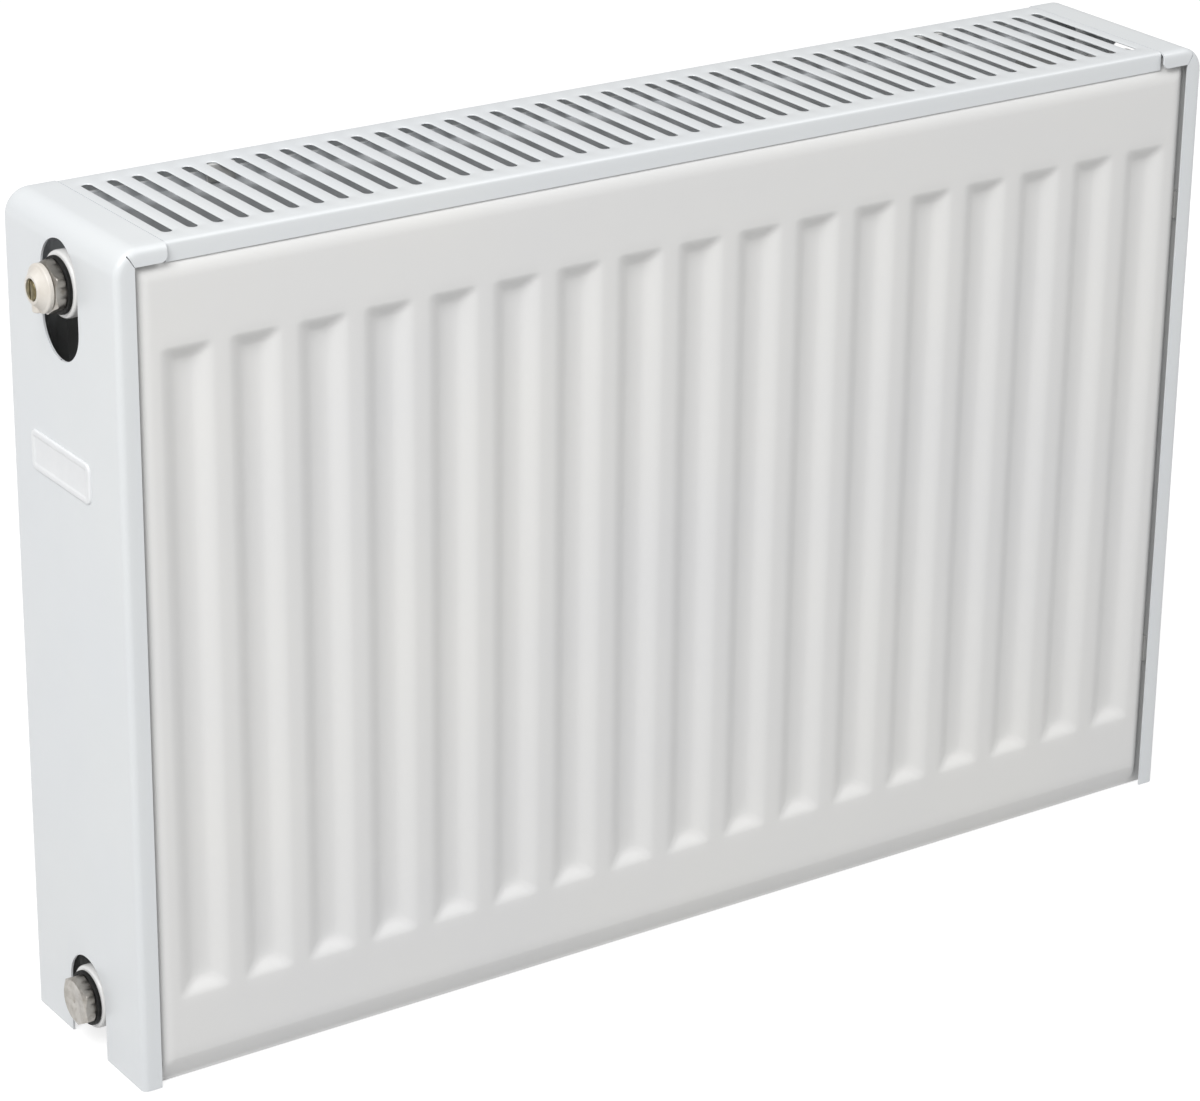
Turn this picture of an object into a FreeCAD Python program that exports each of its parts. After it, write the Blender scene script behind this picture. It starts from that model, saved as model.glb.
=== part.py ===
import FreeCAD, Part
import math
import os
import re
import Sketcher

# Double-panel, double-convector compact radiator.
# Frame: +X along the length, -Y is the room side, +Z up. The origin is under the middle of the whole box.

document = FreeCAD.newDocument("Radiator")
sheet = document.addObject("Spreadsheet::Sheet", "Sizes")

SIZES = (
    ("overall_length", 600.0, "outside to outside of the two side covers"),
    ("overall_height", 400.0, "floor edge to the top of the grille"),
    ("overall_depth", 105.0, "front lip to rear lip of a side cover"),
    ("cover_gauge", 1.0, "steel of the side covers"),
    ("cover_width", 25.0, "top flange of a side cover, along the length"),
    ("cover_bend", 12.0, "outside radius between side and top"),
    ("lip_width", 9.5, "front and rear lips of a side cover"),
    ("lip_bend", 2.0, "outside radius between side and lip"),
    ("tab_height", 8.0, "lip above the end of the grille"),
    ("tab_corner", 3.0, "corners between lip and tab, and at the tab's end"),
    ("port_slot_clearance", 2.0, "gap round a port hub in its slot or notch"),
    ("port_slot_rise", 3.5, "upper arc centre above the port"),
    ("port_slot_drop", 17.5, "lower arc centre below the port"),
    ("grille_gauge", 1.0, "steel of the top grille"),
    ("grille_joint", 0.4, "gap between grille and cover flange"),
    ("grille_setback", 2.4, "grille face behind the cover lip"),
    ("grille_fold", 9.0, "height of the front and rear folds"),
    ("grille_bend", 1.5, "outside radius of the folds"),
    ("vent_slot_pitch", 12.4, "spacing of the air slots"),
    ("vent_slot_width", 5.0, "width of an air slot"),
    ("vent_slot_margin", 11.5, "plain strip in front of and behind the slots"),
    ("vent_slot_end", 8.0, "least plain strip beside a cover flange"),
    ("grille_rise", 4.0, "grille top above the water panel's upper seam"),
    ("panel_inset", 5.5, "cover face to the panel's side seam"),
    ("panel_setback", 0.8, "panel face behind the cover lip"),
    ("seam_width", 5.5, "flat welded seam round a water panel"),
    ("sheet_gauge", 1.2, "steel of the water panel sheets"),
    ("sheet_depth", 5.7, "one pressed sheet, face to seam plane"),
    ("pan_draft", 1.5, "lean of the pressed edge"),
    ("pan_edge", 3.5, "radius of the pressed edge"),
    ("groove_pitch", 33.333, "spacing of the pressed grooves"),
    ("rib_flat", 6.133, "flat strip of panel face between two grooves"),
    ("groove_floor", 8.6, "flat bottom of a groove"),
    ("groove_bottom", 41.0, "lower end of the grooves above the lower seam edge"),
    ("groove_drop", 42.0, "upper end of the grooves below the upper seam edge"),
    ("port_inset", 25.0, "port axis from the nearer seam edge"),
    ("hub_diameter", 30.0, "outside of a port hub"),
    ("hub_setback", 0.3, "hub face inside the cover face"),
    ("thread_bore", 18.63, "minor diameter of the half-inch pipe thread"),
    ("thread_length", 16.0, "threaded length of a port"),
    ("water_bore", 20.0, "waterway behind the thread"),
    ("header_inset", 34.0, "hub face to the header axis"),
    ("header_diameter", 27.0, "outside of the header between the panels"),
    ("header_bore", 22.0, "inside of the header, and the sheet holes"),
    ("fin_gauge", 0.5, "steel of the convectors"),
    ("fin_foot", 12.0, "convector strip welded to a rib"),
    ("fin_gap", 7.4, "space between the two convectors"),
    ("fin_bottom", 45.0, "lower end of the convectors above the lower seam edge"),
    ("fin_drop", 46.0, "upper end of the convectors below the upper seam edge"),
    ("lug_gauge", 2.0, "steel of a hanging lug"),
    ("lug_reach", 8.0, "lug back behind the rear panel"),
    ("lug_foot", 5.0, "welded foot of a lug"),
    ("lug_tall", 60.0, "height of a lug"),
    ("lug_inset", 46.0, "lug from the nearer seam edge"),
    ("lug_groove", 4.0, "groove that a lug straddles, from each end"),
    ("seal_gauge", 2.0, "thickness of a plug seal"),
    ("seal_diameter", 26.0, "outside of a plug seal"),
    ("plug_clearance", 0.06, "shank in the port, radial"),
    ("plug_shank", 12.0, "shank of a plug inside the port"),
    ("hex_across", 22.0, "across the flats of both plugs"),
    ("blind_head", 5.7, "thickness of the blind plug's head"),
    ("vent_head", 5.7, "thickness of the vent plug's head"),
    ("hex_chamfer", 1.2, "height of the chamfer on a plug's corners"),
    ("vent_reach", 13.7, "bleed screw tip outside the cover face"),
    ("nozzle_diameter", 22.0, "rim of the vent nozzle"),
    ("nozzle_rim", 2.2, "straight rim of the vent nozzle"),
    ("nozzle_nose", 12.6, "outer end of the vent nozzle"),
    ("nozzle_sleeve", 14.0, "sleeve that turns in the vent plug"),
    ("nozzle_seat", 4.2, "depth of the seat for the sleeve"),
    ("nozzle_gap", 0.2, "end clearance of the nozzle"),
    ("spout_diameter", 2.6, "water outlet in the nozzle"),
    ("screw_head", 9.4, "head of the bleed screw"),
    ("screw_proud", 0.5, "screw tip beyond the nozzle"),
    ("screw_stem", 6.0, "stem of the bleed screw"),
    ("screw_slot", 1.2, "driver slot in the bleed screw"),
    ("running_clearance", 0.05, "turning parts, radial"),
    ("head_clearance", 0.2, "bleed screw head in the nozzle, radial"),
    ("badge_length", 55.0, "blank plate on the left cover"),
    ("badge_tall", 19.0, "height of the blank plate"),
    ("badge_gauge", 1.0, "thickness of the blank plate"),
    ("badge_corner", 4.0, "corner radius of the blank plate"),
    ("badge_edge", 0.4, "edge radius of the blank plate"),
    ("badge_drop", 114.0, "middle of the blank plate below the cover top"),
    ("badge_behind", 57.0, "middle of the blank plate behind the front lip"),
    ("clip_clearance", 0.2, "clip slot beside a panel seam"),
    ("clip_wall", 1.5, "legs of a clip"),
    ("clip_length", 14.0, "clip along its seam"),
    ("clip_reach", 3.5, "how far a cover clip passes the seam edge"),
    ("cover_clip_inset", 70.0, "cover clip from the nearer seam edge"),
    ("grille_clip_inset", 100.0, "cover face to the middle of a grille clip"),
    ("grille_clip_grip", 5.0, "grille clip down over the seam"),
    ("cut_margin", 5.0, "overrun of a cutting tool past a face"),
)

for row, (alias, value, note) in enumerate(SIZES, start=1):
    sheet.set("A%d" % row, alias)
    sheet.set("B%d" % row, "%.4f" % value)
    sheet.setAlias("B%d" % row, alias)
    sheet.set("C%d" % row, note)
document.recompute()

NAMES = {alias for alias, value, note in SIZES}

# Places that several pieces share, written from the sizes above.
SHARED = {
    "middle_shift": "(vent_reach / 2)",
    "left_face": "(vent_reach / 2 - overall_length / 2)",
    "right_face": "(vent_reach / 2 + overall_length / 2)",
    "front_face": "(panel_setback - overall_depth / 2)",
    "rear_face": "(overall_depth / 2 - lug_reach)",
    "panel_gap": "(overall_depth - panel_setback - lug_reach - 4 * sheet_depth)",
    "header_front": "(overall_depth / 2 - panel_setback - 2 * sheet_depth)",
    "header_rear": "(overall_depth / 2 - lug_reach - 2 * sheet_depth)",
    "panel_height": "(overall_height - grille_rise)",
    "lower_port": "port_inset",
    "upper_port": "(panel_height - port_inset)",
    "port_slot_width": "(hub_diameter + 2 * port_slot_clearance)",
    "groove_width": "(groove_pitch - rib_flat)",
    "seam_length": "(overall_length - 2 * panel_inset)",
    "pan_length": "(overall_length - 2 * panel_inset - 2 * seam_width)",
    "groove_count": "(floor(overall_length / groove_pitch + 0.01) - 1)",
    "slot_steps": "floor((overall_length - 2 * cover_width - 2 * vent_slot_end) / vent_slot_pitch)",
    "grille_length": "(overall_length - 2 * cover_width - 2 * grille_joint)",
    "grille_depth": "(overall_depth - 2 * grille_setback)",
    "fin_depth": "((panel_gap - fin_gap) / 2)",
    "nozzle_start": "(seal_gauge + vent_head + nozzle_gap)",
    "screw_tip": "(vent_reach + hub_setback)",
    "seam_plane_front": "(front_face + sheet_depth)",
    "seam_plane_rear": "(rear_face - sheet_depth)",
}


def bound(text):
    """Write an expression with each size name pointing at its cell."""
    text = str(text)
    while any(re.search(r"\b%s\b" % name, text) for name in SHARED):
        for name, meaning in SHARED.items():
            text = re.sub(r"\b%s\b" % name, meaning, text)
    return re.sub(r"\b[a-z_]+\b", lambda word: "Sizes." + word.group() if word.group() in NAMES
                  else word.group(), text)


def size(text):
    """The present value of an expression, as a plain number."""
    result = sheet.evalExpression(bound(text))
    return float(getattr(result, "Value", result))


def bind(thing, prop, text):
    thing.setExpression(prop, bound(text))


def place(thing, x="0", y="0", z="0", turn=0.0):
    """Put a finished piece in the radiator's frame; turn is about the vertical."""
    thing.Placement = FreeCAD.Placement(FreeCAD.Vector(0, 0, 0), FreeCAD.Rotation(FreeCAD.Vector(0, 0, 1), turn))
    bind(thing, "Placement.Base.x", x)
    bind(thing, "Placement.Base.y", y)
    bind(thing, "Placement.Base.z", z)


def new_body(label):
    body = document.addObject("PartDesign::Body", "Body_" + label)
    body.Label = label
    return body


def new_sketch(body, plane, offset="0"):
    """A sketch on one of the body's own planes, moved along that plane's normal."""
    sketch = body.newObject("Sketcher::SketchObject", "Outline")
    origin = [item for item in body.Origin.OriginFeatures if item.Role == plane][0]
    sketch.AttachmentSupport = [(origin, "")]
    sketch.MapMode = "FlatFace"
    bind(sketch, "AttachmentOffset.Base.z", offset)
    return sketch


def dimension(sketch, kind, *where_and_text):
    """Add one driving dimension and tie it to the sheet."""
    where = where_and_text[:-1]
    text = where_and_text[-1]
    index = sketch.addConstraint(Sketcher.Constraint(kind, *where, size(text)))
    sketch.setExpression("Constraints[%d]" % index, bound(text))


def polygon(sketch, corners):
    """A closed outline of straight sides through corners given as expressions."""
    points = [FreeCAD.Vector(size(across), size(up), 0) for across, up in corners]
    for start, end in zip(points, points[1:] + points[:1]):
        sketch.addGeometry(Part.LineSegment(start, end), False)
    for index, (across, up) in enumerate(corners):
        following = (index + 1) % len(corners)
        sketch.addConstraint(Sketcher.Constraint("Coincident", index, 2, following, 1))
        dimension(sketch, "DistanceX", -1, 1, index, 1, across)
        dimension(sketch, "DistanceY", -1, 1, index, 1, up)


def rectangle(sketch, low, high):
    polygon(sketch, ((low[0], low[1]), (high[0], low[1]), (high[0], high[1]), (low[0], high[1])))


def circle(sketch, across, up, diameter):
    centre = FreeCAD.Vector(size(across), size(up), 0)
    radius = "(%s) / 2" % diameter
    index = sketch.addGeometry(Part.Circle(centre, FreeCAD.Vector(0, 0, 1), size(radius)), False)
    dimension(sketch, "DistanceX", -1, 1, index, 3, across)
    dimension(sketch, "DistanceY", -1, 1, index, 3, up)
    dimension(sketch, "Radius", index, radius)


def long_slot(sketch, across, low, high, width):
    """A slot with round ends, its length running up the sketch between two arc centres."""
    middle = size(across)
    radius = size("(%s) / 2" % width)
    bottom = FreeCAD.Vector(middle, size(low), 0)
    top = FreeCAD.Vector(middle, size(high), 0)
    reach = FreeCAD.Vector(radius, 0, 0)
    normal = FreeCAD.Vector(0, 0, 1)
    sketch.addGeometry(Part.ArcOfCircle(Part.Circle(top, normal, radius), 0, math.pi), False)
    sketch.addGeometry(Part.LineSegment(top - reach, bottom - reach), False)
    sketch.addGeometry(Part.ArcOfCircle(Part.Circle(bottom, normal, radius), math.pi, 2 * math.pi), False)
    sketch.addGeometry(Part.LineSegment(bottom + reach, top + reach), False)
    for first in range(4):
        sketch.addConstraint(Sketcher.Constraint("Tangent", first, 2, (first + 1) % 4, 1))
    dimension(sketch, "DistanceX", -1, 1, 0, 3, across)
    dimension(sketch, "DistanceY", -1, 1, 0, 3, high)
    dimension(sketch, "DistanceX", -1, 1, 2, 3, across)
    dimension(sketch, "DistanceY", -1, 1, 2, 3, low)
    dimension(sketch, "Radius", 0, "(%s) / 2" % width)


def shoulder(sketch, left, right, bottom, top, radius):
    """A rectangle whose upper left corner is an arc."""
    left_at, right_at, bottom_at, top_at = size(left), size(right), size(bottom), size(top)
    round_by = size(radius)
    arc_start = FreeCAD.Vector(left_at, top_at - round_by, 0)
    arc_end = FreeCAD.Vector(left_at + round_by, top_at, 0)
    centre = FreeCAD.Vector(left_at + round_by, top_at - round_by, 0)
    upper_right = FreeCAD.Vector(right_at, top_at, 0)
    lower_right = FreeCAD.Vector(right_at, bottom_at, 0)
    lower_left = FreeCAD.Vector(left_at, bottom_at, 0)
    sketch.addGeometry(Part.LineSegment(lower_left, arc_start), False)
    sketch.addGeometry(Part.ArcOfCircle(Part.Circle(centre, FreeCAD.Vector(0, 0, 1), round_by),
                                        math.pi / 2, math.pi), False)
    sketch.addGeometry(Part.LineSegment(arc_end, upper_right), False)
    sketch.addGeometry(Part.LineSegment(upper_right, lower_right), False)
    sketch.addGeometry(Part.LineSegment(lower_right, lower_left), False)
    for pair in ((0, 2, 1, 2), (1, 1, 2, 1)):
        sketch.addConstraint(Sketcher.Constraint("Tangent", *pair))
    for pair in ((2, 2, 3, 1), (3, 2, 4, 1), (4, 2, 0, 1)):
        sketch.addConstraint(Sketcher.Constraint("Coincident", *pair))
    for kind, line in (("Vertical", 0), ("Horizontal", 2), ("Vertical", 3), ("Horizontal", 4)):
        sketch.addConstraint(Sketcher.Constraint(kind, line))
    dimension(sketch, "DistanceX", -1, 1, 0, 1, left)
    dimension(sketch, "DistanceY", -1, 1, 0, 1, bottom)
    dimension(sketch, "DistanceX", -1, 1, 3, 1, right)
    dimension(sketch, "DistanceY", -1, 1, 3, 1, top)
    dimension(sketch, "Radius", 1, radius)


def pad(body, sketch, length, taper=None):
    feature = body.newObject("PartDesign::Pad", "Pad")
    feature.Profile = sketch
    bind(feature, "Length", length)
    if taper:
        bind(feature, "TaperAngle", taper)
    document.recompute()
    return feature


def cut(body, sketch, length, along_normal=False, taper=None):
    """A pocket that is certain to remove material."""
    before = body.Shape.Volume
    feature = body.newObject("PartDesign::Pocket", "Pocket")
    feature.Profile = sketch
    feature.Reversed = along_normal
    bind(feature, "Length", length)
    if taper:
        bind(feature, "TaperAngle", taper)
    document.recompute()
    if body.Shape.Volume >= before:
        raise RuntimeError("a pocket in %s cuts nothing" % body.Label)
    return feature


def repeat(body, feature, axis, steps, pitch):
    """Repeat a feature along one of the body's axes, steps times beyond the first."""
    pattern = body.newObject("PartDesign::LinearPattern", "Pattern")
    pattern.Originals = [feature]
    line = [item for item in body.Origin.OriginFeatures if item.Role == axis][0]
    pattern.Direction = (line, [""])
    bind(pattern, "Length", "(%s) * (%s)" % (steps, pitch))
    bind(pattern, "Occurrences", "(%s) + 1" % steps)
    body.Tip = pattern
    document.recompute()
    return pattern


def round_edges(body, radius, choose):
    """Round the edges of the body's last feature that the test picks out."""
    base = body.Tip
    names = ["Edge%d" % index for index, edge in enumerate(base.Shape.Edges, start=1) if choose(edge.BoundBox)]
    feature = body.newObject("PartDesign::Fillet", "Fillet")
    feature.Base = (base, names)
    bind(feature, "Radius", radius)
    document.recompute()
    return feature


def near(value, target):
    return abs(value - target) < 0.01


# Water panels: each is two pressed sheets, seam welded all round and spot welded on the groove floors.
def panel_sheet(label, has_ports):
    """One pressed sheet, its face at y = 0 and its seam plane at y = sheet_depth."""
    body = new_body(label)
    plate = new_sketch(body, "XZ_Plane", "-sheet_depth")
    rectangle(plate, ("-seam_length / 2", "0"), ("seam_length / 2", "panel_height"))
    pad(body, plate, "sheet_gauge")

    pan = new_sketch(body, "XZ_Plane", "sheet_gauge - sheet_depth")
    rectangle(pan, ("-pan_length / 2", "seam_width"), ("pan_length / 2", "panel_height - seam_width"))
    pad(body, pan, "sheet_depth - sheet_gauge", "-atan(pan_draft / (sheet_depth - sheet_gauge))")
    round_edges(body, "pan_edge", lambda box: near(box.YMin, 0) and near(box.YMax, 0))

    wall = "(sheet_gauge + pan_draft)"
    hollow = new_sketch(body, "XZ_Plane", "-sheet_gauge")
    rectangle(hollow, ("-pan_length / 2 + " + wall, "seam_width + " + wall),
              ("pan_length / 2 - " + wall, "panel_height - seam_width - " + wall))
    cut(body, hollow, "sheet_depth")

    slope = "atan((groove_width - groove_floor) / 2 / (sheet_depth - sheet_gauge))"
    first = "-(groove_count - 1) / 2 * groove_pitch"
    low = (first + " - groove_width / 2", "groove_bottom")
    high = (first + " + groove_width / 2", "panel_height - groove_drop")
    trough = new_sketch(body, "XZ_Plane", "-sheet_gauge")
    rectangle(trough, low, high)
    back = body.newObject("PartDesign::Pad", "Trough")
    back.Profile = trough
    back.Reversed = True
    bind(back, "Length", "sheet_depth - sheet_gauge")
    bind(back, "TaperAngle", "-" + slope)
    document.recompute()
    repeat(body, back, "X_Axis", "groove_count - 1", "groove_pitch")

    mouth = new_sketch(body, "XZ_Plane", "0")
    rectangle(mouth, low, high)
    groove = cut(body, mouth, "sheet_depth - sheet_gauge", taper="-" + slope)
    repeat(body, groove, "X_Axis", "groove_count - 1", "groove_pitch")

    if has_ports:
        holes = new_sketch(body, "XZ_Plane", "0")
        for side in ("-", ""):
            for level in ("lower_port", "upper_port"):
                circle(holes, side + "(overall_length / 2 - hub_setback - header_inset)", level, "header_bore")
        cut(body, holes, "2 * sheet_gauge")
    return body


def panels():
    place(panel_sheet("front_outer_sheet", False), "middle_shift", "front_face")
    place(panel_sheet("front_inner_sheet", True), "middle_shift", "front_face + 2 * sheet_depth", turn=180)
    place(panel_sheet("rear_inner_sheet", True), "middle_shift", "rear_face - 2 * sheet_depth")
    place(panel_sheet("rear_outer_sheet", False), "middle_shift", "rear_face", turn=180)


# Convectors: thin sheet folded into deep channels, its feet welded to the ribs of the inner sheets.
def convector(label):
    """Feet on y = 0, crests at y = fin_depth."""
    body = new_body(label)
    profile = new_sketch(body, "XY_Plane", "fin_bottom")
    start = "-(groove_count - 2) / 2 * groove_pitch"
    foot = "fin_foot / 2"
    far = start + " + groove_pitch"
    polygon(profile, (
        (start, "0"),
        (start + " + " + foot, "0"),
        (start + " + " + foot, "fin_depth - fin_gauge"),
        (far + " - " + foot, "fin_depth - fin_gauge"),
        (far + " - " + foot, "0"),
        (far, "0"),
        (far, "fin_gauge"),
        (far + " - " + foot + " + fin_gauge", "fin_gauge"),
        (far + " - " + foot + " + fin_gauge", "fin_depth"),
        (start + " + " + foot + " - fin_gauge", "fin_depth"),
        (start + " + " + foot + " - fin_gauge", "fin_gauge"),
        (start, "fin_gauge"),
    ))
    channel = pad(body, profile, "panel_height - fin_drop - fin_bottom")
    repeat(body, channel, "X_Axis", "groove_count - 3", "groove_pitch")
    return body


def convectors():
    place(convector("front_convector"), "middle_shift", "front_face + 2 * sheet_depth")
    place(convector("rear_convector"), "middle_shift", "rear_face - 2 * sheet_depth", turn=180)


# Tees: a header between the two water panels with a threaded hub pointing out of the side.
def tee(label, low, high):
    """Hub face at x = 0, hub running towards +X, header from y = -low to y = high."""
    body = new_body(label)
    hub = new_sketch(body, "YZ_Plane")
    circle(hub, "0", "0", "hub_diameter")
    pad(body, hub, "header_inset")
    header = new_sketch(body, "XZ_Plane", "-" + high)
    circle(header, "header_inset", "0", "header_diameter")
    pad(body, header, "panel_gap")
    waterway = new_sketch(body, "XZ_Plane", low)
    circle(waterway, "header_inset", "0", "header_bore")
    cut(body, waterway, "panel_gap")
    thread = new_sketch(body, "YZ_Plane")
    circle(thread, "0", "0", "thread_bore")
    cut(body, thread, "thread_length", along_normal=True)
    passage = new_sketch(body, "YZ_Plane", "thread_length")
    circle(passage, "0", "0", "water_bore")
    cut(body, passage, "header_inset - thread_length", along_normal=True)
    return body


def tees():
    sides = (("left", "left_face + hub_setback", "header_front", "header_rear", 0),
             ("right", "right_face - hub_setback", "header_rear", "header_front", 180))
    for side, face, low, high, turn in sides:
        for level, height in (("top", "upper_port"), ("bottom", "lower_port")):
            place(tee("%s_%s_tee" % (side, level), low, high), face, "0", height, turn)


# Hanging lugs: hat-shaped straps welded to the ribs of the rear panel, open at both ends for a wall bracket.
def lug(label):
    """Feet on y = 0, back at y = lug_reach, bottom at z = 0, straddling a groove at x = 0."""
    body = new_body(label)
    profile = new_sketch(body, "XY_Plane")
    outer = "(groove_pitch / 2 + lug_foot / 2)"
    inner = "(groove_pitch / 2 - lug_foot / 2)"
    polygon(profile, (
        ("-" + outer, "0"),
        ("-" + inner, "0"),
        ("-" + inner, "lug_reach - lug_gauge"),
        (inner, "lug_reach - lug_gauge"),
        (inner, "0"),
        (outer, "0"),
        (outer, "lug_gauge"),
        (inner + " + lug_gauge", "lug_gauge"),
        (inner + " + lug_gauge", "lug_reach"),
        ("-" + inner + " - lug_gauge", "lug_reach"),
        ("-" + inner + " - lug_gauge", "lug_gauge"),
        ("-" + outer, "lug_gauge"),
    ))
    pad(body, profile, "lug_tall")
    return body


def lugs():
    across = "((groove_count + 1) / 2 - lug_groove) * groove_pitch"
    for side, sign in (("left", "-"), ("right", "+")):
        for level, height in (("upper", "panel_height - lug_inset - lug_tall"), ("lower", "lug_inset")):
            place(lug("%s_%s_lug" % (side, level)), "middle_shift %s %s" % (sign, across), "rear_face", height)


# Plugs: both left ports are closed, the upper one by a vent plug and the lower one by a blind plug.
def seal(label):
    """A flat ring from the hub face at x = 0 out to x = -seal_gauge."""
    body = new_body(label)
    ring = new_sketch(body, "YZ_Plane", "-seal_gauge")
    circle(ring, "0", "0", "seal_diameter")
    circle(ring, "0", "0", "thread_bore")
    pad(body, ring, "seal_gauge")
    return body


def hex_plug(label, head):
    """A shank inside the port and a chamfered hexagon outside the seal, with one corner up."""
    body = new_body(label)
    corner = "(hex_across / 2 / cos(30))"
    outline = new_sketch(body, "YZ_Plane", "-seal_gauge - " + head)
    half = "(%s / 2)" % corner
    polygon(outline, (
        ("0", corner), ("-hex_across / 2", half), ("-hex_across / 2", "-" + half),
        ("0", "-" + corner), ("hex_across / 2", "-" + half), ("hex_across / 2", half),
    ))
    pad(body, outline, head)
    shank = new_sketch(body, "YZ_Plane", "-seal_gauge")
    circle(shank, "0", "0", "thread_bore - 2 * plug_clearance")
    pad(body, shank, "seal_gauge + plug_shank")
    bevel = new_sketch(body, "XY_Plane")
    end = "-seal_gauge - " + head
    polygon(bevel, (
        (end, "hex_across / 2"),
        (end, "2 * " + corner),
        (end + " + hex_chamfer", "2 * " + corner),
        (end + " + hex_chamfer", corner),
    ))
    groove = body.newObject("PartDesign::Groove", "Chamfer")
    groove.Profile = bevel
    axis = [item for item in body.Origin.OriginFeatures if item.Role == "X_Axis"][0]
    groove.ReferenceAxis = (axis, [""])
    groove.Angle = 360
    document.recompute()
    return body


def vent_plug():
    """The vent plug's body, bored for the nozzle's sleeve and the bleed screw's stem."""
    body = hex_plug("vent_plug_body", "vent_head")
    end = "-seal_gauge - vent_head"
    seat = new_sketch(body, "YZ_Plane", end)
    circle(seat, "0", "0", "nozzle_sleeve + 2 * running_clearance")
    cut(body, seat, "nozzle_seat", along_normal=True)
    bore = new_sketch(body, "YZ_Plane", end)
    circle(bore, "0", "0", "screw_stem + 2 * running_clearance")
    cut(body, bore, "seal_gauge + vent_head + plug_shank + cut_margin", along_normal=True)
    return body


def revolved(label, corners):
    """A turned piece: an outline in the XY plane, swept round the X axis."""
    body = new_body(label)
    profile = new_sketch(body, "XY_Plane")
    polygon(profile, corners)
    turning = body.newObject("PartDesign::Revolution", "Turning")
    turning.Profile = profile
    axis = [item for item in body.Origin.OriginFeatures if item.Role == "X_Axis"][0]
    turning.ReferenceAxis = (axis, [""])
    turning.Angle = 360
    document.recompute()
    return body


def nozzle():
    """The moulded nozzle: a sleeve in the plug, a rim and a cone, with a spout in its underside."""
    hole = "screw_head / 2 + head_clearance"
    body = revolved("vent_nozzle", (
        ("nozzle_seat - nozzle_start - nozzle_gap + nozzle_gap / 2", hole),
        ("nozzle_seat - nozzle_start - nozzle_gap + nozzle_gap / 2", "nozzle_sleeve / 2"),
        ("-nozzle_start", "nozzle_sleeve / 2"),
        ("-nozzle_start", "nozzle_diameter / 2"),
        ("-nozzle_start - nozzle_rim", "nozzle_diameter / 2"),
        ("screw_proud - screw_tip", "nozzle_nose / 2"),
        ("screw_proud - screw_tip", hole),
    ))
    spout = new_sketch(body, "XY_Plane", "-nozzle_diameter / 2 - cut_margin")
    circle(spout, "-nozzle_start - nozzle_rim / 2 - spout_diameter / 2", "0", "spout_diameter")
    cut(body, spout, "nozzle_diameter / 2 + cut_margin", along_normal=True)
    return body


def bleed_screw():
    """The brass screw: a head inside the nozzle with a driver slot, and a stem in the plug."""
    shoulder_at = "nozzle_seat - seal_gauge - vent_head - nozzle_gap"
    body = revolved("bleed_screw", (
        ("-screw_tip", "0"),
        ("-screw_tip", "screw_head / 2 - screw_proud"),
        ("screw_proud - screw_tip", "screw_head / 2"),
        (shoulder_at, "screw_head / 2"),
        (shoulder_at, "screw_stem / 2"),
        ("plug_shank - screw_stem / 2", "screw_stem / 2"),
        ("plug_shank", "0"),
    ))
    slot = new_sketch(body, "YZ_Plane", "-screw_tip")
    rectangle(slot, ("-screw_slot / 2", "-screw_head"), ("screw_slot / 2", "screw_head"))
    cut(body, slot, "1.5 * screw_slot", along_normal=True)
    return body


def port_fittings():
    for piece, height in ((seal("vent_plug_seal"), "upper_port"), (vent_plug(), "upper_port"),
                          (nozzle(), "upper_port"), (bleed_screw(), "upper_port"),
                          (seal("blind_plug_seal"), "lower_port"),
                          (hex_plug("blind_plug", "blind_head"), "lower_port")):
        place(piece, "left_face + hub_setback", "0", height)


# Side covers: folded steel, with a slot round the upper port and a notch round the lower one.
def side_cover(label):
    """Outer face at x = 0, flange towards +X, the same from front and rear."""
    body = new_body(label)
    outside = new_sketch(body, "XZ_Plane", "-overall_depth / 2")
    shoulder(outside, "0", "cover_width", "0", "overall_height", "cover_bend")
    pad(body, outside, "overall_depth")
    half = size("overall_depth / 2")
    width = size("cover_width")
    round_edges(body, "lip_bend", lambda box: near(abs(box.YMin), half) and near(box.YMin, box.YMax)
                and box.ZMax > 1 and not near(box.XMin, width))

    inside = new_sketch(body, "XZ_Plane", "overall_depth / 2 - cover_gauge")
    shoulder(inside, "cover_gauge", "cover_width + cut_margin", "-cut_margin",
             "overall_height - cover_gauge", "cover_bend - cover_gauge")
    cut(body, inside, "overall_depth - 2 * cover_gauge")

    window = new_sketch(body, "XZ_Plane", "overall_depth / 2")
    rectangle(window, ("lip_width", "-cut_margin"), ("cover_width + cut_margin", "overall_height - tab_height"))
    cut(body, window, "overall_depth")
    lip = size("lip_width")
    tab = size("overall_height - tab_height")
    round_edges(body, "tab_corner", lambda box: near(box.XMin, box.XMax) and near(box.ZMin, tab)
                and near(box.ZMax, tab) and (near(box.XMin, lip) or near(box.XMin, width)))

    for level, low in (("upper_port", "upper_port - port_slot_drop"), ("lower_port", "-port_slot_width")):
        opening = new_sketch(body, "YZ_Plane")
        long_slot(opening, "0", low, level + " + port_slot_rise", "port_slot_width")
        cut(body, opening, "2 * cover_gauge", along_normal=True)
    return body


def badge():
    """The blank plate fixed to the left cover."""
    body = new_body("badge_plate")
    plate = new_sketch(body, "YZ_Plane")
    rectangle(plate, ("-badge_length / 2", "-badge_tall / 2"), ("badge_length / 2", "badge_tall / 2"))
    pad(body, plate, "badge_gauge")
    thick = size("badge_gauge")
    round_edges(body, "badge_corner", lambda box: near(box.XMax - box.XMin, thick))
    round_edges(body, "badge_edge", lambda box: near(box.XMin, 0) and near(box.XMax, 0))
    return body


def covers():
    place(side_cover("left_side_cover"), "left_face")
    place(side_cover("right_side_cover"), "right_face", turn=180)
    place(badge(), "left_face - badge_gauge", "badge_behind - overall_depth / 2", "overall_height - badge_drop")


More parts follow.
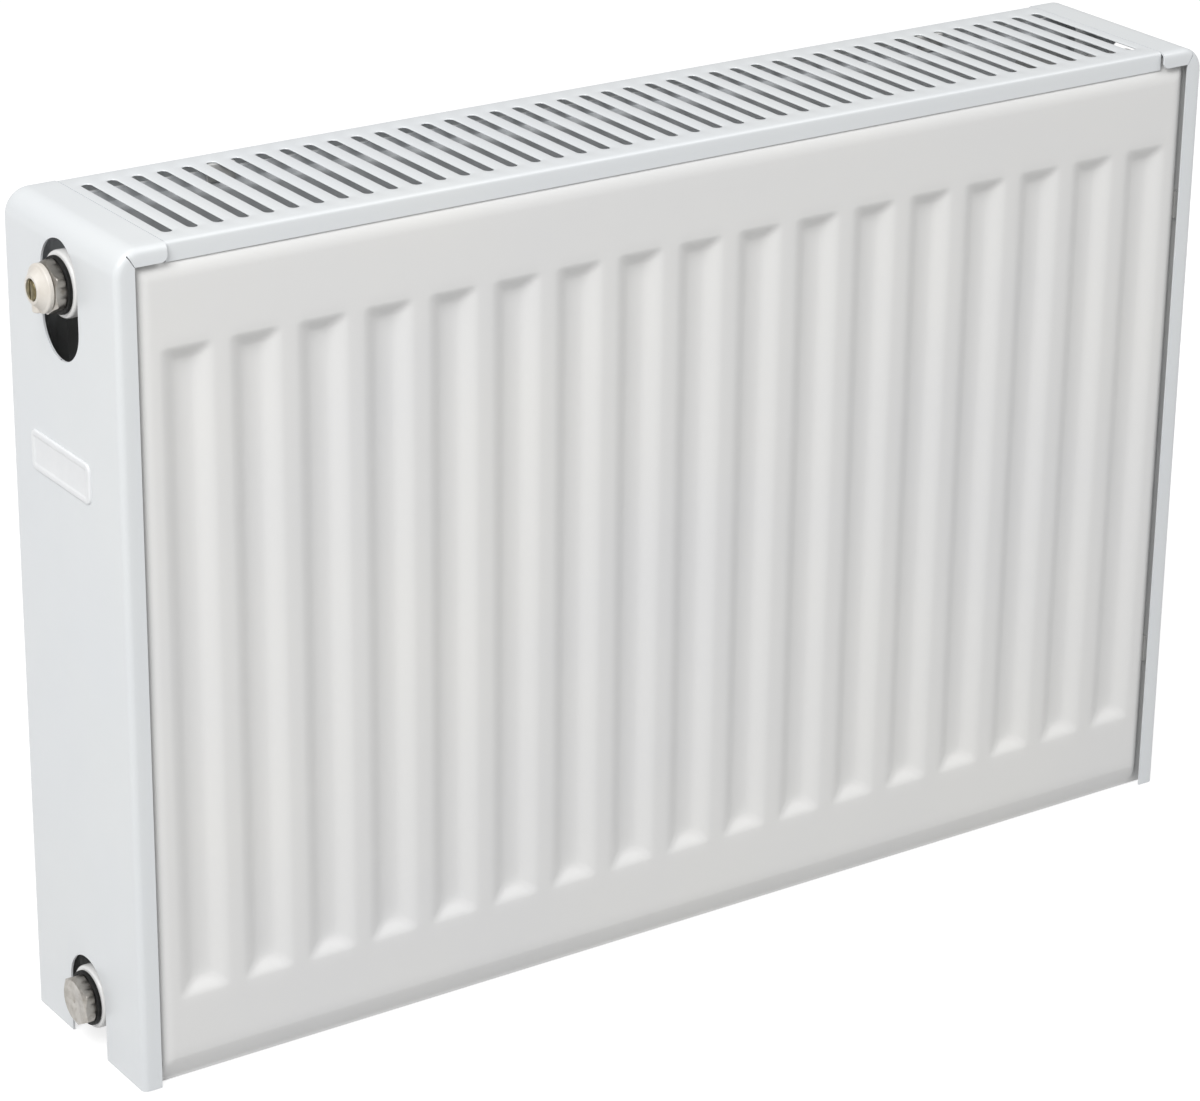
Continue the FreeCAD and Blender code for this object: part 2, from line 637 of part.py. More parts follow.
# Top grille: one folded strip with a row of long air slots.
def grille():
    body = new_body("top_grille")
    base = "overall_height - grille_fold"
    strip = new_sketch(body, "XY_Plane", base)
    rectangle(strip, ("-grille_length / 2", "-grille_depth / 2"), ("grille_length / 2", "grille_depth / 2"))
    pad(body, strip, "grille_fold")
    top = size("overall_height")
    half = size("grille_depth / 2")
    round_edges(body, "grille_bend", lambda box: near(box.ZMin, top) and near(abs(box.YMin), half)
                and near(box.YMin, box.YMax))
    under = new_sketch(body, "XY_Plane", base)
    rectangle(under, ("-grille_length / 2 - cut_margin", "grille_gauge - grille_depth / 2"),
              ("grille_length / 2 + cut_margin", "grille_depth / 2 - grille_gauge"))
    cut(body, under, "grille_fold - grille_gauge", along_normal=True)
    slot = new_sketch(body, "XY_Plane", "overall_height")
    end = "(overall_depth / 2 - vent_slot_margin - vent_slot_width / 2)"
    long_slot(slot, "-slot_steps / 2 * vent_slot_pitch", "-" + end, end, "vent_slot_width")
    opening = cut(body, slot, "2 * grille_gauge")
    repeat(body, opening, "X_Axis", "slot_steps", "vent_slot_pitch")
    place(body, "middle_shift")


# Clips: small moulded blocks with a slot that grips a welded seam.
def block(name, low, high):
    box = document.addObject("Part::Box", name)
    for prop, start, end in zip(("Length", "Width", "Height"), low, high):
        bind(box, prop, "(%s) - (%s)" % (end, start))
    place(box, *low)
    return box


def clip_group(label, clips):
    """A set of like clips in one node; each is (block low, block high, slot low, slot high)."""
    pieces = []
    for low, high, slot_low, slot_high in clips:
        clip = document.addObject("Part::Cut", "Clip")
        clip.Base = block("ClipBlock", low, high)
        clip.Tool = block("ClipSlot", slot_low, slot_high)
        pieces.append(clip)
    group = document.addObject("Part::Compound", "Group_" + label)
    group.Links = pieces
    group.Label = label


def cover_clips(side, face, sign):
    clips = []
    reach = (("cover_gauge", "panel_inset + clip_reach"),
             ("panel_inset - clip_clearance", "panel_inset + clip_reach + cut_margin"))
    spans = []
    for near_end, far_end in reach:
        ends = ["%s %s (%s)" % (face, sign, end) for end in (near_end, far_end)]
        spans.append(ends if sign == "+" else ends[::-1])
    half_slot = "(sheet_gauge + clip_clearance)"
    for plane in ("seam_plane_front", "seam_plane_rear"):
        for bottom in ("cover_clip_inset", "panel_height - cover_clip_inset - clip_length"):
            top = bottom + " + clip_length"
            clips.append((
                (spans[0][0], "%s - %s - clip_wall" % (plane, half_slot), bottom),
                (spans[0][1], "%s + %s + clip_wall" % (plane, half_slot), top),
                (spans[1][0], "%s - %s" % (plane, half_slot), bottom + " - cut_margin"),
                (spans[1][1], "%s + %s" % (plane, half_slot), top + " + cut_margin"),
            ))
    clip_group(side + "_cover_clips", clips)


def grille_clips():
    clips = []
    half_slot = "(sheet_gauge + clip_clearance)"
    for plane in ("seam_plane_front", "seam_plane_rear"):
        for middle in ("left_face + grille_clip_inset", "right_face - grille_clip_inset"):
            start = middle + " - clip_length / 2"
            end = middle + " + clip_length / 2"
            foot = "panel_height - grille_clip_grip"
            clips.append((
                (start, "%s - %s - clip_wall" % (plane, half_slot), foot),
                (end, "%s + %s + clip_wall" % (plane, half_slot), "overall_height - grille_gauge"),
                (start + " - cut_margin", "%s - %s" % (plane, half_slot), foot + " - cut_margin"),
                (end + " + cut_margin", "%s + %s" % (plane, half_slot), "panel_height + clip_clearance"),
            ))
    clip_group("grille_clips", clips)


def export_parts():
    """Refuse a failed model, then write one file for each piece."""
    document.recompute()
    for thing in document.Objects:
        if "Invalid" in thing.State or "Error" in thing.State:
            raise RuntimeError("%s failed: %s" % (thing.Label, thing.State))
    pieces = [thing for thing in document.Objects if thing.TypeId == "PartDesign::Body"
              or thing.TypeId == "Part::Compound"]
    os.makedirs("parts", exist_ok=True)
    for piece in pieces:
        if piece.Shape.isNull() or not piece.Shape.isValid():
            raise RuntimeError("%s has no sound shape" % piece.Label)
    for piece in pieces:
        piece.Shape.exportStep("parts/%s.step" % piece.Label)
        box = piece.Shape.BoundBox
        print("%-20s %d solid(s) %9.0f mm3  X %.2f..%.2f  Y %.2f..%.2f  Z %.2f..%.2f" % (
            piece.Label, len(piece.Shape.Solids), piece.Shape.Volume,
            box.XMin, box.XMax, box.YMin, box.YMax, box.ZMin, box.ZMax))


panels()
convectors()
tees()
lugs()
port_fittings()
covers()
grille()
cover_clips("left", "left_face", "+")
cover_clips("right", "right_face", "-")
grille_clips()
export_parts()
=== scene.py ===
import math

import bmesh
import bpy
from mathutils import Matrix, Vector


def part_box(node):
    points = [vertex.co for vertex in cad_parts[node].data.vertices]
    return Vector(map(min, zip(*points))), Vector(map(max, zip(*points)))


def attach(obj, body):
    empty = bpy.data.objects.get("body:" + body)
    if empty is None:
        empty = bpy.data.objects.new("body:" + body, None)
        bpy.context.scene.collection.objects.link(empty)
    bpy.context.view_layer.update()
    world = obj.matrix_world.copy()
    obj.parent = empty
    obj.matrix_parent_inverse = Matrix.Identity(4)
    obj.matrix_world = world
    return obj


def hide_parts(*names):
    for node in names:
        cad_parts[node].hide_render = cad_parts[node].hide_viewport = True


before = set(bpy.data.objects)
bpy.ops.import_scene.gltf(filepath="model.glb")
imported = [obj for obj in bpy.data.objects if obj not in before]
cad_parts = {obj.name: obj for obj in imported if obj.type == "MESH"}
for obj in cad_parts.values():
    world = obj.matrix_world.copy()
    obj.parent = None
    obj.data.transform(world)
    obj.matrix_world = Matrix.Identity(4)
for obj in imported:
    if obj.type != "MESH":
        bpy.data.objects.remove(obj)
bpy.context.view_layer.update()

# ---------------------------------------------------------------------------------------------
# Camera. A long lens from the front left and above, so that the left cover, the front panel and
# the top grille all show. The target is the middle of the radiator's foot, raised to mid height.

CAMERA_AZIMUTH = math.radians(-34.16)
CAMERA_ELEVATION = math.radians(22.74)
CAMERA_ROLL = math.radians(0.70)
CAMERA_DISTANCE = 1.9808
CAMERA_LENS = 123.7
CAMERA_SENSOR = 36.0
AIM_HEIGHT = 0.200
AIM_SIDEWAYS = -0.0100
AIM_UPWARDS = -0.0166


def camera():
    """Places the camera from its angles, its distance and its aim."""
    back = Vector((math.sin(CAMERA_AZIMUTH) * math.cos(CAMERA_ELEVATION),
                   -math.cos(CAMERA_AZIMUTH) * math.cos(CAMERA_ELEVATION), math.sin(CAMERA_ELEVATION)))
    level = Vector((math.cos(CAMERA_AZIMUTH), math.sin(CAMERA_AZIMUTH), 0.0))
    upright = back.cross(level)
    right = level * math.cos(CAMERA_ROLL) + upright * math.sin(CAMERA_ROLL)
    up = upright * math.cos(CAMERA_ROLL) - level * math.sin(CAMERA_ROLL)
    place = Vector((0.0, 0.0, AIM_HEIGHT)) + back * CAMERA_DISTANCE
    place += right * AIM_SIDEWAYS + up * AIM_UPWARDS
    data = bpy.data.cameras.new("camera")
    data.sensor_width = CAMERA_SENSOR
    data.lens = CAMERA_LENS
    holder = bpy.data.objects.new("camera", data)
    turn = Matrix((right, up, back)).transposed().to_4x4()
    holder.matrix_world = Matrix.Translation(place) @ turn
    bpy.context.scene.collection.objects.link(holder)
    bpy.context.scene.camera = holder


camera()
bpy.context.scene.view_settings.view_transform = "Standard"

# ---------------------------------------------------------------------------------------------
# Studio. A pale floor that keeps a faint shadow, a white surround, one broad lamp high on the
# left and a weak one from the right.

FLOOR_REACH = 12.0
FLOOR_LEVEL = -0.0005
FLOOR_GREY = (0.44, 0.44, 0.44, 1.0)
FLOOR_GLOW = 0.76
WHITE = (1.0, 1.0, 1.0, 1.0)
AMBIENT = 0.50
LAMP_AIM = Vector((0.0, 0.0, 0.2))


def new_piece(name, points, faces, material):
    """A new mesh object with one material, as drawn."""
    mesh = bpy.data.meshes.new(name)
    mesh.from_pydata([tuple(point) for point in points], [], faces)
    mesh.materials.append(material)
    piece = bpy.data.objects.new(name, mesh)
    bpy.context.scene.collection.objects.link(piece)
    return piece


def build(name, points, faces, material):
    """A new mesh piece with doubled points joined and outward normals."""
    piece = new_piece(name, points, faces, material)
    work = bmesh.new()
    work.from_mesh(piece.data)
    bmesh.ops.remove_doubles(work, verts=work.verts, dist=1e-6)
    bmesh.ops.recalc_face_normals(work, faces=work.faces)
    work.to_mesh(piece.data)
    work.free()
    return piece


def camera_share(tree):
    """1 for what the camera, a mirror or clear glass sees, else 0."""
    path = tree.nodes.new("ShaderNodeLightPath")
    first = tree.nodes.new("ShaderNodeMath")
    first.operation = "MAXIMUM"
    second = tree.nodes.new("ShaderNodeMath")
    second.operation = "MAXIMUM"
    tree.links.new(path.outputs["Is Camera Ray"], first.inputs[0])
    tree.links.new(path.outputs["Is Glossy Ray"], first.inputs[1])
    tree.links.new(first.outputs[0], second.inputs[0])
    tree.links.new(path.outputs["Is Transmission Ray"], second.inputs[1])
    return second.outputs[0]


def white_surround():
    """White to the camera, softer as a light."""
    world = bpy.data.worlds.new("surround")
    bpy.context.scene.world = world
    world.use_nodes = True
    tree = world.node_tree
    tree.nodes.clear()
    plain = tree.nodes.new("ShaderNodeBackground")
    plain.inputs["Color"].default_value = WHITE
    plain.inputs["Strength"].default_value = AMBIENT
    seen = tree.nodes.new("ShaderNodeBackground")
    seen.inputs["Color"].default_value = WHITE
    seen.inputs["Strength"].default_value = 1.0
    mix = tree.nodes.new("ShaderNodeMixShader")
    output = tree.nodes.new("ShaderNodeOutputWorld")
    path = tree.nodes.new("ShaderNodeLightPath")
    tree.links.new(path.outputs["Is Camera Ray"], mix.inputs["Fac"])
    tree.links.new(plain.outputs[0], mix.inputs[1])
    tree.links.new(seen.outputs[0], mix.inputs[2])
    tree.links.new(mix.outputs[0], output.inputs["Surface"])


def pale_floor():
    """Takes a faint shadow, and glows a little to the camera so that it stays near white."""
    material = bpy.data.materials.new("floor_white")
    material.use_nodes = True
    tree = material.node_tree
    tree.nodes.clear()
    matt = tree.nodes.new("ShaderNodeBsdfDiffuse")
    matt.inputs["Color"].default_value = FLOOR_GREY
    glow = tree.nodes.new("ShaderNodeEmission")
    glow.inputs["Color"].default_value = WHITE
    glow.inputs["Strength"].default_value = FLOOR_GLOW
    nothing = tree.nodes.new("ShaderNodeEmission")
    nothing.inputs["Strength"].default_value = 0.0
    choice = tree.nodes.new("ShaderNodeMixShader")
    both = tree.nodes.new("ShaderNodeAddShader")
    output = tree.nodes.new("ShaderNodeOutputMaterial")
    tree.links.new(camera_share(tree), choice.inputs["Fac"])
    tree.links.new(nothing.outputs[0], choice.inputs[1])
    tree.links.new(glow.outputs[0], choice.inputs[2])
    tree.links.new(matt.outputs[0], both.inputs[0])
    tree.links.new(choice.outputs[0], both.inputs[1])
    tree.links.new(both.outputs[0], output.inputs["Surface"])
    corners = [(x * FLOOR_REACH, y * FLOOR_REACH, FLOOR_LEVEL)
               for x, y in ((-1, -1), (1, -1), (1, 1), (-1, 1))]
    build("floor", corners, [(0, 1, 2, 3)], material)


def lamp(name, place, power, width):
    """A square soft light turned towards the middle of the radiator."""
    data = bpy.data.lights.new(name, "AREA")
    data.shape = "SQUARE"
    data.size = width
    data.energy = power
    holder = bpy.data.objects.new(name, data)
    holder.location = place
    holder.rotation_euler = (LAMP_AIM - Vector(place)).to_track_quat("-Z", "Y").to_euler()
    bpy.context.scene.collection.objects.link(holder)


white_surround()
pale_floor()
lamp("lamp_key", (-1.86, -1.14, 2.27), 60.0, 1.4)
lamp("lamp_fill", (1.55, -1.24, 2.4), 15.0, 1.2)

# ---------------------------------------------------------------------------------------------
# Water panels. Each is two pressed steel sheets, seam welded round the edge and spot welded along
# the groove floors, then dipped, powder coated and stoved white. The outer sheets show: soft
# grooves with mitred ends, and a rolled edge down to the seam.

MM = 0.001
SHEET_GAUGE = 1.2 * MM
HEAD_SEAM = 3.0 * MM
HEAD_ROLL = 9.5 * MM
FOOT_SEAM = 1.5 * MM
FOOT_ROLL = 11.0 * MM
SIDE_SEAM = 3.0 * MM
SIDE_ROLL = 8.5 * MM
GROOVE_COUNT = 17
GROOVE_PITCH = 33.333 * MM
GROOVE_WIDTH = 27.2 * MM
GROOVE_WALL = 10.4 * MM
GROOVE_END_WALL = 8.5 * MM
GROOVE_LOW = 41.0 * MM
GROOVE_HIGH = 42.0 * MM
GROOVE_BLEND = 4.0 * MM
GROOVE_STEEP = 0.65
FOOT_FULLNESS = 0.65
PANEL_WHITE = (0.80, 0.80, 0.80)


def box(node):
    """The two corners of a construction solid, in metres."""
    return [Vector(corner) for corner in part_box(node)]


def blank_material(name):
    """A new node material; returns it with its node tree and its main shader."""
    material = bpy.data.materials.new(name)
    material.use_nodes = True
    tree = material.node_tree
    return material, tree, tree.nodes["Principled BSDF"]


def noise(tree, scale, detail=3.0, roughness=0.5, stretch=(1.0, 1.0, 1.0), centre=(0.0, 0.0, 0.0)):
    """A noise pattern fixed to the piece, in cycles per metre."""
    coordinates = tree.nodes.new("ShaderNodeTexCoord")
    mapping = tree.nodes.new("ShaderNodeMapping")
    mapping.inputs["Scale"].default_value = stretch
    mapping.inputs["Location"].default_value = centre
    pattern = tree.nodes.new("ShaderNodeTexNoise")
    pattern.inputs["Scale"].default_value = scale
    pattern.inputs["Detail"].default_value = detail
    pattern.inputs["Roughness"].default_value = roughness
    tree.links.new(coordinates.outputs["Object"], mapping.inputs["Vector"])
    tree.links.new(mapping.outputs["Vector"], pattern.inputs["Vector"])
    return pattern.outputs["Fac"]


def spread(tree, value, low, high, start=0.3, end=0.7):
    """Stretch a pattern's middle range onto low to high."""
    node = tree.nodes.new("ShaderNodeMapRange")
    node.inputs["From Min"].default_value = start
    node.inputs["From Max"].default_value = end
    node.inputs["To Min"].default_value = low
    node.inputs["To Max"].default_value = high
    tree.links.new(value, node.inputs["Value"])
    return node.outputs["Result"]


def blend_colours(tree, factor, first, second):
    """Two colours, or a colour and another node's colour, mixed by a pattern."""
    node = tree.nodes.new("ShaderNodeMix")
    node.data_type = "RGBA"
    tree.links.new(factor, node.inputs["Factor"])
    for socket, colour in ((node.inputs["A"], first), (node.inputs["B"], second)):
        if isinstance(colour, bpy.types.NodeSocket):
            tree.links.new(colour, socket)
        else:
            socket.default_value = (*colour, 1.0)
    return node.outputs["Result"]


def roughen(tree, shader, heights):
    """Chain bump nodes onto the shader; each is (pattern, height in metres, strength)."""
    normal = None
    for pattern, distance, strength in heights:
        bump = tree.nodes.new("ShaderNodeBump")
        bump.inputs["Distance"].default_value = distance
        bump.inputs["Strength"].default_value = strength
        tree.links.new(pattern, bump.inputs["Height"])
        if normal:
            tree.links.new(normal, bump.inputs["Normal"])
        normal = bump.outputs["Normal"]
    tree.links.new(normal, shader.inputs["Normal"])


def enamel(name, colour, gloss=0.36):
    """Stoved powder coat: orange peel, faint waviness of the sheet, thin and worn on outer edges, with
    painted shade in its creases.
    """
    material, tree, shader = blank_material(name)
    cloud = spread(tree, noise(tree, 7.0), 0.0, 1.0)
    deep = tuple(channel * 0.975 for channel in colour)
    warm = (colour[0] * 1.01, colour[1] * 1.005, colour[2] * 0.985)
    base = blend_colours(tree, cloud, deep, warm)
    geometry = tree.nodes.new("ShaderNodeNewGeometry")
    edge = spread(tree, geometry.outputs["Pointiness"], 0.0, 0.35, 0.53, 0.62)
    worn = tuple(channel * 0.97 for channel in colour)
    base = blend_colours(tree, edge, base, worn)
    # Painted shade: concave creases are darkened towards a warm grey.
    crease = spread(tree, geometry.outputs["Pointiness"], 0.30, 0.0, 0.40, 0.48)
    crease_shade = (colour[0] * 0.86, colour[1] * 0.85, colour[2] * 0.83)
    base = blend_colours(tree, crease, base, crease_shade)
    tree.links.new(base, shader.inputs["Base Color"])
    shader.inputs["Coat Weight"].default_value = 0.35
    shader.inputs["Coat Roughness"].default_value = 0.22
    patches = noise(tree, 45.0, detail=4.0)
    tree.links.new(spread(tree, patches, gloss - 0.04, gloss + 0.05), shader.inputs["Roughness"])
    roughen(tree, shader, (
        (noise(tree, 9.0, detail=1.0), 0.0012, 0.10),
        (noise(tree, 620.0, detail=2.0), 0.00010, 0.16),
        (noise(tree, 2600.0, detail=1.0), 0.00003, 0.10),
    ))
    return material


def smooth(mesh, angle=35.0):
    """Smooth shading, with edges sharper than the angle left crisp."""
    mesh.polygons.foreach_set("use_smooth", [True] * len(mesh.polygons))
    mesh.set_sharp_from_angle(angle=math.radians(angle))


def settle(piece, angle=35.0):
    """Turn the piece's modifiers into plain mesh and shade it."""
    bpy.context.view_layer.update()
    result = piece.evaluated_get(bpy.context.evaluated_depsgraph_get())
    mesh = bpy.data.meshes.new_from_object(result)
    piece.modifiers.clear()
    piece.data = mesh
    smooth(mesh, angle)


def thicken(piece, gauge):
    """Give a drawn surface its gauge, on the inner side."""
    modifier = piece.modifiers.new("gauge", "SOLIDIFY")
    modifier.thickness = gauge
    modifier.offset = -1.0
    modifier.use_even_offset = True


def soften_edges(piece, width, angle):
    """Break the edges that are sharper than the angle."""
    modifier = piece.modifiers.new("edge", "BEVEL")
    modifier.width = width
    modifier.segments = 2
    modifier.limit_method = "ANGLE"
    modifier.angle_limit = math.radians(angle)


def fit(piece, body, slot, *nodes):
    """Fix the piece to its body and let it stand for its construction solids."""
    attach(piece, body)
    if nodes:
        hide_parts(*nodes)


def ease(share):
    """0 to 1 with a soft start and a soft end."""
    share = min(1.0, max(0.0, share))
    return share * share * (3.0 - 2.0 * share)


def soft_least(first, second, blend):
    """The lesser of two lengths, with the crossing rounded."""
    gap = max(blend - abs(first - second), 0.0) / blend
    return min(first, second) - gap * gap * blend / 4.0


def stations(stops):
    """Grid lines through (place, number of steps to the next place)."""
    lines = []
    for (start, steps), (end, _) in zip(stops, stops[1:]):
        lines += [start + (end - start) * step / steps for step in range(steps)]
    return lines + [stops[-1][0]]


def sheet_depth_at(x, z, low, high, depth):
    """How far the pressed sheet lies behind its face plane."""
    middle_x = (low.x + high.x) / 2
    from_side = (high.x - low.x) / 2 - abs(x - middle_x)
    from_head = high.z - z
    from_foot = z - low.z
    side_part = max(0.0, 1.0 - (from_side - SIDE_SEAM) / SIDE_ROLL)
    end_part = max(0.0, 1.0 - (from_head - HEAD_SEAM) / HEAD_ROLL)
    if from_foot < from_head:
        end_part = max(0.0, 1.0 - (from_foot - FOOT_SEAM) / FOOT_ROLL) ** FOOT_FULLNESS
    roll = depth * min(1.0, (side_part ** 4 + end_part ** 4) ** 0.25) ** 2
    number = round((x - middle_x) / GROOVE_PITCH)
    number = max(-(GROOVE_COUNT // 2), min(GROOVE_COUNT // 2, number))
    across = GROOVE_WIDTH / 2 - abs(x - middle_x - number * GROOVE_PITCH)
    along = min(z - low.z - GROOVE_LOW, high.z - GROOVE_HIGH - z)
    along *= GROOVE_WALL / GROOVE_END_WALL
    inward = soft_least(across, along, GROOVE_BLEND)
    wall, dish = ease(inward / GROOVE_WALL), ease(inward / (GROOVE_WIDTH / 2))
    return max(roll, depth * (GROOVE_STEEP * wall + (1.0 - GROOVE_STEEP) * dish))


def outer_sheet(name, node, face_in_front):
    """The visible pressing, as a fine grid bent to the groove and edge profiles."""
    low, high = box(node)
    depth = (high.y - low.y) - SHEET_GAUGE
    middle = (low.x + high.x) / 2
    first = middle - (GROOVE_COUNT // 2) * GROOVE_PITCH - GROOVE_WIDTH / 2
    columns = [(low.x, 3), (low.x + SIDE_SEAM, 12)]
    for number in range(GROOVE_COUNT):
        start = first + number * GROOVE_PITCH
        rib_steps = 12 if number == GROOVE_COUNT - 1 else 2
        columns += [(start, 10), (start + GROOVE_WALL, 4), (start + GROOVE_WIDTH - GROOVE_WALL, 10),
                    (start + GROOVE_WIDTH, rib_steps)]
    columns += [(high.x - SIDE_SEAM, 3), (high.x, 1)]
    bottom = low.z + GROOVE_LOW
    top = high.z - GROOVE_HIGH
    rows = [(low.z, 3), (low.z + FOOT_SEAM, 12), (low.z + FOOT_SEAM + FOOT_ROLL, 6), (bottom, 10),
            (bottom + GROOVE_END_WALL, 3), (bottom + 2 * GROOVE_END_WALL, 12),
            (top - 2 * GROOVE_END_WALL, 3), (top - GROOVE_END_WALL, 10), (top, 6),
            (high.z - HEAD_SEAM - HEAD_ROLL, 12), (high.z - HEAD_SEAM, 3), (high.z, 1)]
    columns = stations(columns)
    rows = stations(rows)
    points = []
    for z in rows:
        for x in columns:
            behind = sheet_depth_at(x, z, low, high, depth)
            points.append((x, low.y + behind if face_in_front else high.y - behind, z))
    wide = len(columns)
    faces = []
    for row in range(len(rows) - 1):
        for column in range(wide - 1):
            corner = row * wide + column
            quad = (corner, corner + 1, corner + wide + 1, corner + wide)
            faces.append(quad if face_in_front else quad[::-1])
    piece = new_piece(name, points, faces, panel_enamel)
    thicken(piece, SHEET_GAUGE)
    settle(piece, 50.0)
    fit(piece, "radiator", "panel_enamel", node)


panel_enamel = enamel("panel_enamel", PANEL_WHITE)
outer_sheet("front_pressing", "front_outer_sheet", True)
outer_sheet("rear_pressing", "rear_outer_sheet", False)

# ---------------------------------------------------------------------------------------------
# Inner sheets. Flat steel that closes each panel behind its pressing. Between the panels they are
# given a dark grey as painted shade, fading to a paler grey near the top.

# Painted shade: a dark grey for the inside of the panels, and a paler grey near the top.
INSIDE_SHADE_GREY = (0.26, 0.263, 0.265)
INSIDE_DULL = 0.5
UPPER_SHADE_GREY = (0.66, 0.68, 0.70)
SHADE_FADE_STARTS = 0.84
SHADE_FADE_FULL = 0.95


def fading_painted_shade(name):
    """Painted shade: dark grey low down, paler towards the top; heights are shares of the sheet."""
    material = enamel(name, INSIDE_SHADE_GREY, INSIDE_DULL)
    tree = material.node_tree
    colour_in = tree.nodes["Principled BSDF"].inputs["Base Color"]
    coordinates = tree.nodes.new("ShaderNodeTexCoord")
    axes = tree.nodes.new("ShaderNodeSeparateXYZ")
    tree.links.new(coordinates.outputs["Generated"], axes.inputs[0])
    # The painted shade lifts towards the top of the sheet.
    shade_fade = spread(tree, axes.outputs["Z"], 0.0, 1.0, SHADE_FADE_STARTS, SHADE_FADE_FULL)
    tree.links.new(blend_colours(tree, shade_fade, colour_in.links[0].from_socket, UPPER_SHADE_GREY), colour_in)
    return material


def repaint(material, *nodes):
    """Give construction solids that stay in view a new material."""
    for node in nodes:
        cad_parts[node].data.materials.clear()
        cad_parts[node].data.materials.append(material)


# Painted shade: a dark grey for the headers between the panels.
inside_shade = enamel("inside_shade", INSIDE_SHADE_GREY, INSIDE_DULL)
repaint(fading_painted_shade("inner_painted_shade"), "front_inner_sheet", "rear_inner_sheet")

# ---------------------------------------------------------------------------------------------
# Convectors. Half-millimetre steel strip folded into deep channels and spot welded to the ribs
# inside each panel. They are given a mid grey as painted shade down between the fins.

# Painted shade: a mid grey for the convectors between the fins.
FIN_SHADE_GREY = (0.36, 0.365, 0.37)

repaint(enamel("convector_enamel", FIN_SHADE_GREY, INSIDE_DULL), "front_convector", "rear_convector")

# ---------------------------------------------------------------------------------------------
# Tees. A drawn steel header joins the two panels at each corner; a turned hub with a half-inch
# pipe thread is welded into it and shows as a white ring in the side cover's opening.

HUB_RADIUS = 15.0 * MM
HUB_CHAMFER = 0.7 * MM
THREAD_MINOR = 9.315 * MM
THREAD_DEPTH = 1.0 * MM
THREAD_PITCH = 1.814 * MM
THREAD_LENGTH = 16.0 * MM
WATER_RADIUS = 10.0 * MM
HEADER_INSET = 34.0 * MM
HEADER_RADIUS = 13.5 * MM
HEADER_BORE = 11.0 * MM
WELD_BEAD = 1.6 * MM


def ring_surface(rings, segments, axis, origin, inward=1.0):
    """Skin a closed row of rings round an axis; each ring is (distance along, radius or rule)."""
    points = []
    for along, radius in rings:
        for step in range(segments):
            angle = 2.0 * math.pi * step / segments
            reach = radius(angle) if callable(radius) else radius
            side, up = reach * math.sin(angle), reach * math.cos(angle)
            offset = (inward * along, side, up) if axis == "X" else (side, inward * along, up)
            points.append(Vector(origin) + Vector(offset))
    faces = []
    for ring in range(len(rings)):
        following = (ring + 1) % len(rings)
        for step in range(segments):
            beside = (step + 1) % segments
            faces.append((ring * segments + step, ring * segments + beside,
                          following * segments + beside, following * segments + step))
    return points, faces


def thread_ring(along):
    """The radius of the helical thread at one distance from the mouth."""
    def radius(angle):
        phase = (along / THREAD_PITCH - angle / (2.0 * math.pi)) % 1.0
        tooth = 1.0 - abs(2.0 * phase - 1.0)
        return THREAD_MINOR + THREAD_DEPTH * min(1.0, max(0.0, 1.3 * tooth - 0.15))
    return radius


def tee(side, level):
    """A threaded hub, with the header welded between the panels behind it."""
    node = "%s_%s_tee" % (side, level)
    low, high = box(node)
    inward = 1.0 if side == "left" else -1.0
    mouth = Vector((low.x if side == "left" else high.x, 0.0, (low.z + high.z) / 2))
    rings = [(HEADER_INSET, HUB_RADIUS - HUB_CHAMFER), (HEADER_INSET - 1.0 * MM, HUB_RADIUS),
             (HUB_CHAMFER * 1.6, HUB_RADIUS), (HUB_CHAMFER * 0.5, HUB_RADIUS - HUB_CHAMFER * 0.5),
             (0.0, HUB_RADIUS - HUB_CHAMFER * 1.4), (0.0, THREAD_MINOR + 2.2 * MM),
             (0.3 * MM, THREAD_MINOR + 1.7 * MM), (1.2 * MM, THREAD_MINOR + THREAD_DEPTH)]
    turns = stations([(1.4 * MM, 64), (THREAD_LENGTH - 1.0 * MM, 1)])
    rings += [(along, thread_ring(along)) for along in turns]
    rings += [(THREAD_LENGTH, WATER_RADIUS), (HEADER_INSET, WATER_RADIUS)]
    hub = ring_surface(rings, 72, "X", mouth, inward)
    pipe_low = Vector((mouth.x + inward * HEADER_INSET, low.y, mouth.z))
    length = high.y - low.y
    weld = [(0.0, HEADER_BORE), (0.0, HEADER_RADIUS + WELD_BEAD), (0.8 * MM, HEADER_RADIUS + WELD_BEAD),
            (2.4 * MM, HEADER_RADIUS + 0.3 * MM), (3.4 * MM, HEADER_RADIUS)]
    far_weld = [(length - along, radius) for along, radius in reversed(weld)]
    pipe = ring_surface(weld + far_weld, 64, "Y", pipe_low)
    ring = build("%s_%s_hub" % (side, level), *hub, panel_enamel)
    # The header takes the dark grey of painted shade; its hub ring stays white.
    header = build("%s_%s_header" % (side, level), *pipe, inside_shade)
    for piece in (ring, header):
        smooth(piece.data, 40.0)
    fit(ring, "radiator", "panel_enamel", node)
    fit(header, "radiator", "convector_enamel")


for side in ("left", "right"):
    for level in ("top", "bottom"):
        tee(side, level)

# ---------------------------------------------------------------------------------------------
# Hanging lugs. Two-millimetre steel straps folded to a hat section and projection welded to the
# back of the rear panel; the wall bracket's hooks slide in from below.

LUG_GAUGE = 2.0 * MM
LUG_FOOT = 5.0 * MM
LUG_BEND = 1.4 * MM


def soften(corners, steps=5):
    """Round an outline's corners; each corner is (across, up, radius)."""
    outline = []
    for index, (across, up, radius) in enumerate(corners):
        here = Vector((across, up))
        if radius == 0.0:
            outline.append(here)
            continue
        back = Vector(corners[index - 1][:2]) - here
        ahead = Vector(corners[(index + 1) % len(corners)][:2]) - here
        reach = min(radius / math.tan(back.angle(ahead) / 2), 0.48 * back.length, 0.48 * ahead.length)
        start = here + back.normalized() * reach
        end = here + ahead.normalized() * reach
        for step in range(steps + 1):
            far = step / steps
            near = 1 - far
            outline.append(start * near ** 2 + here * (2 * far * near) + end * far ** 2)
    return outline


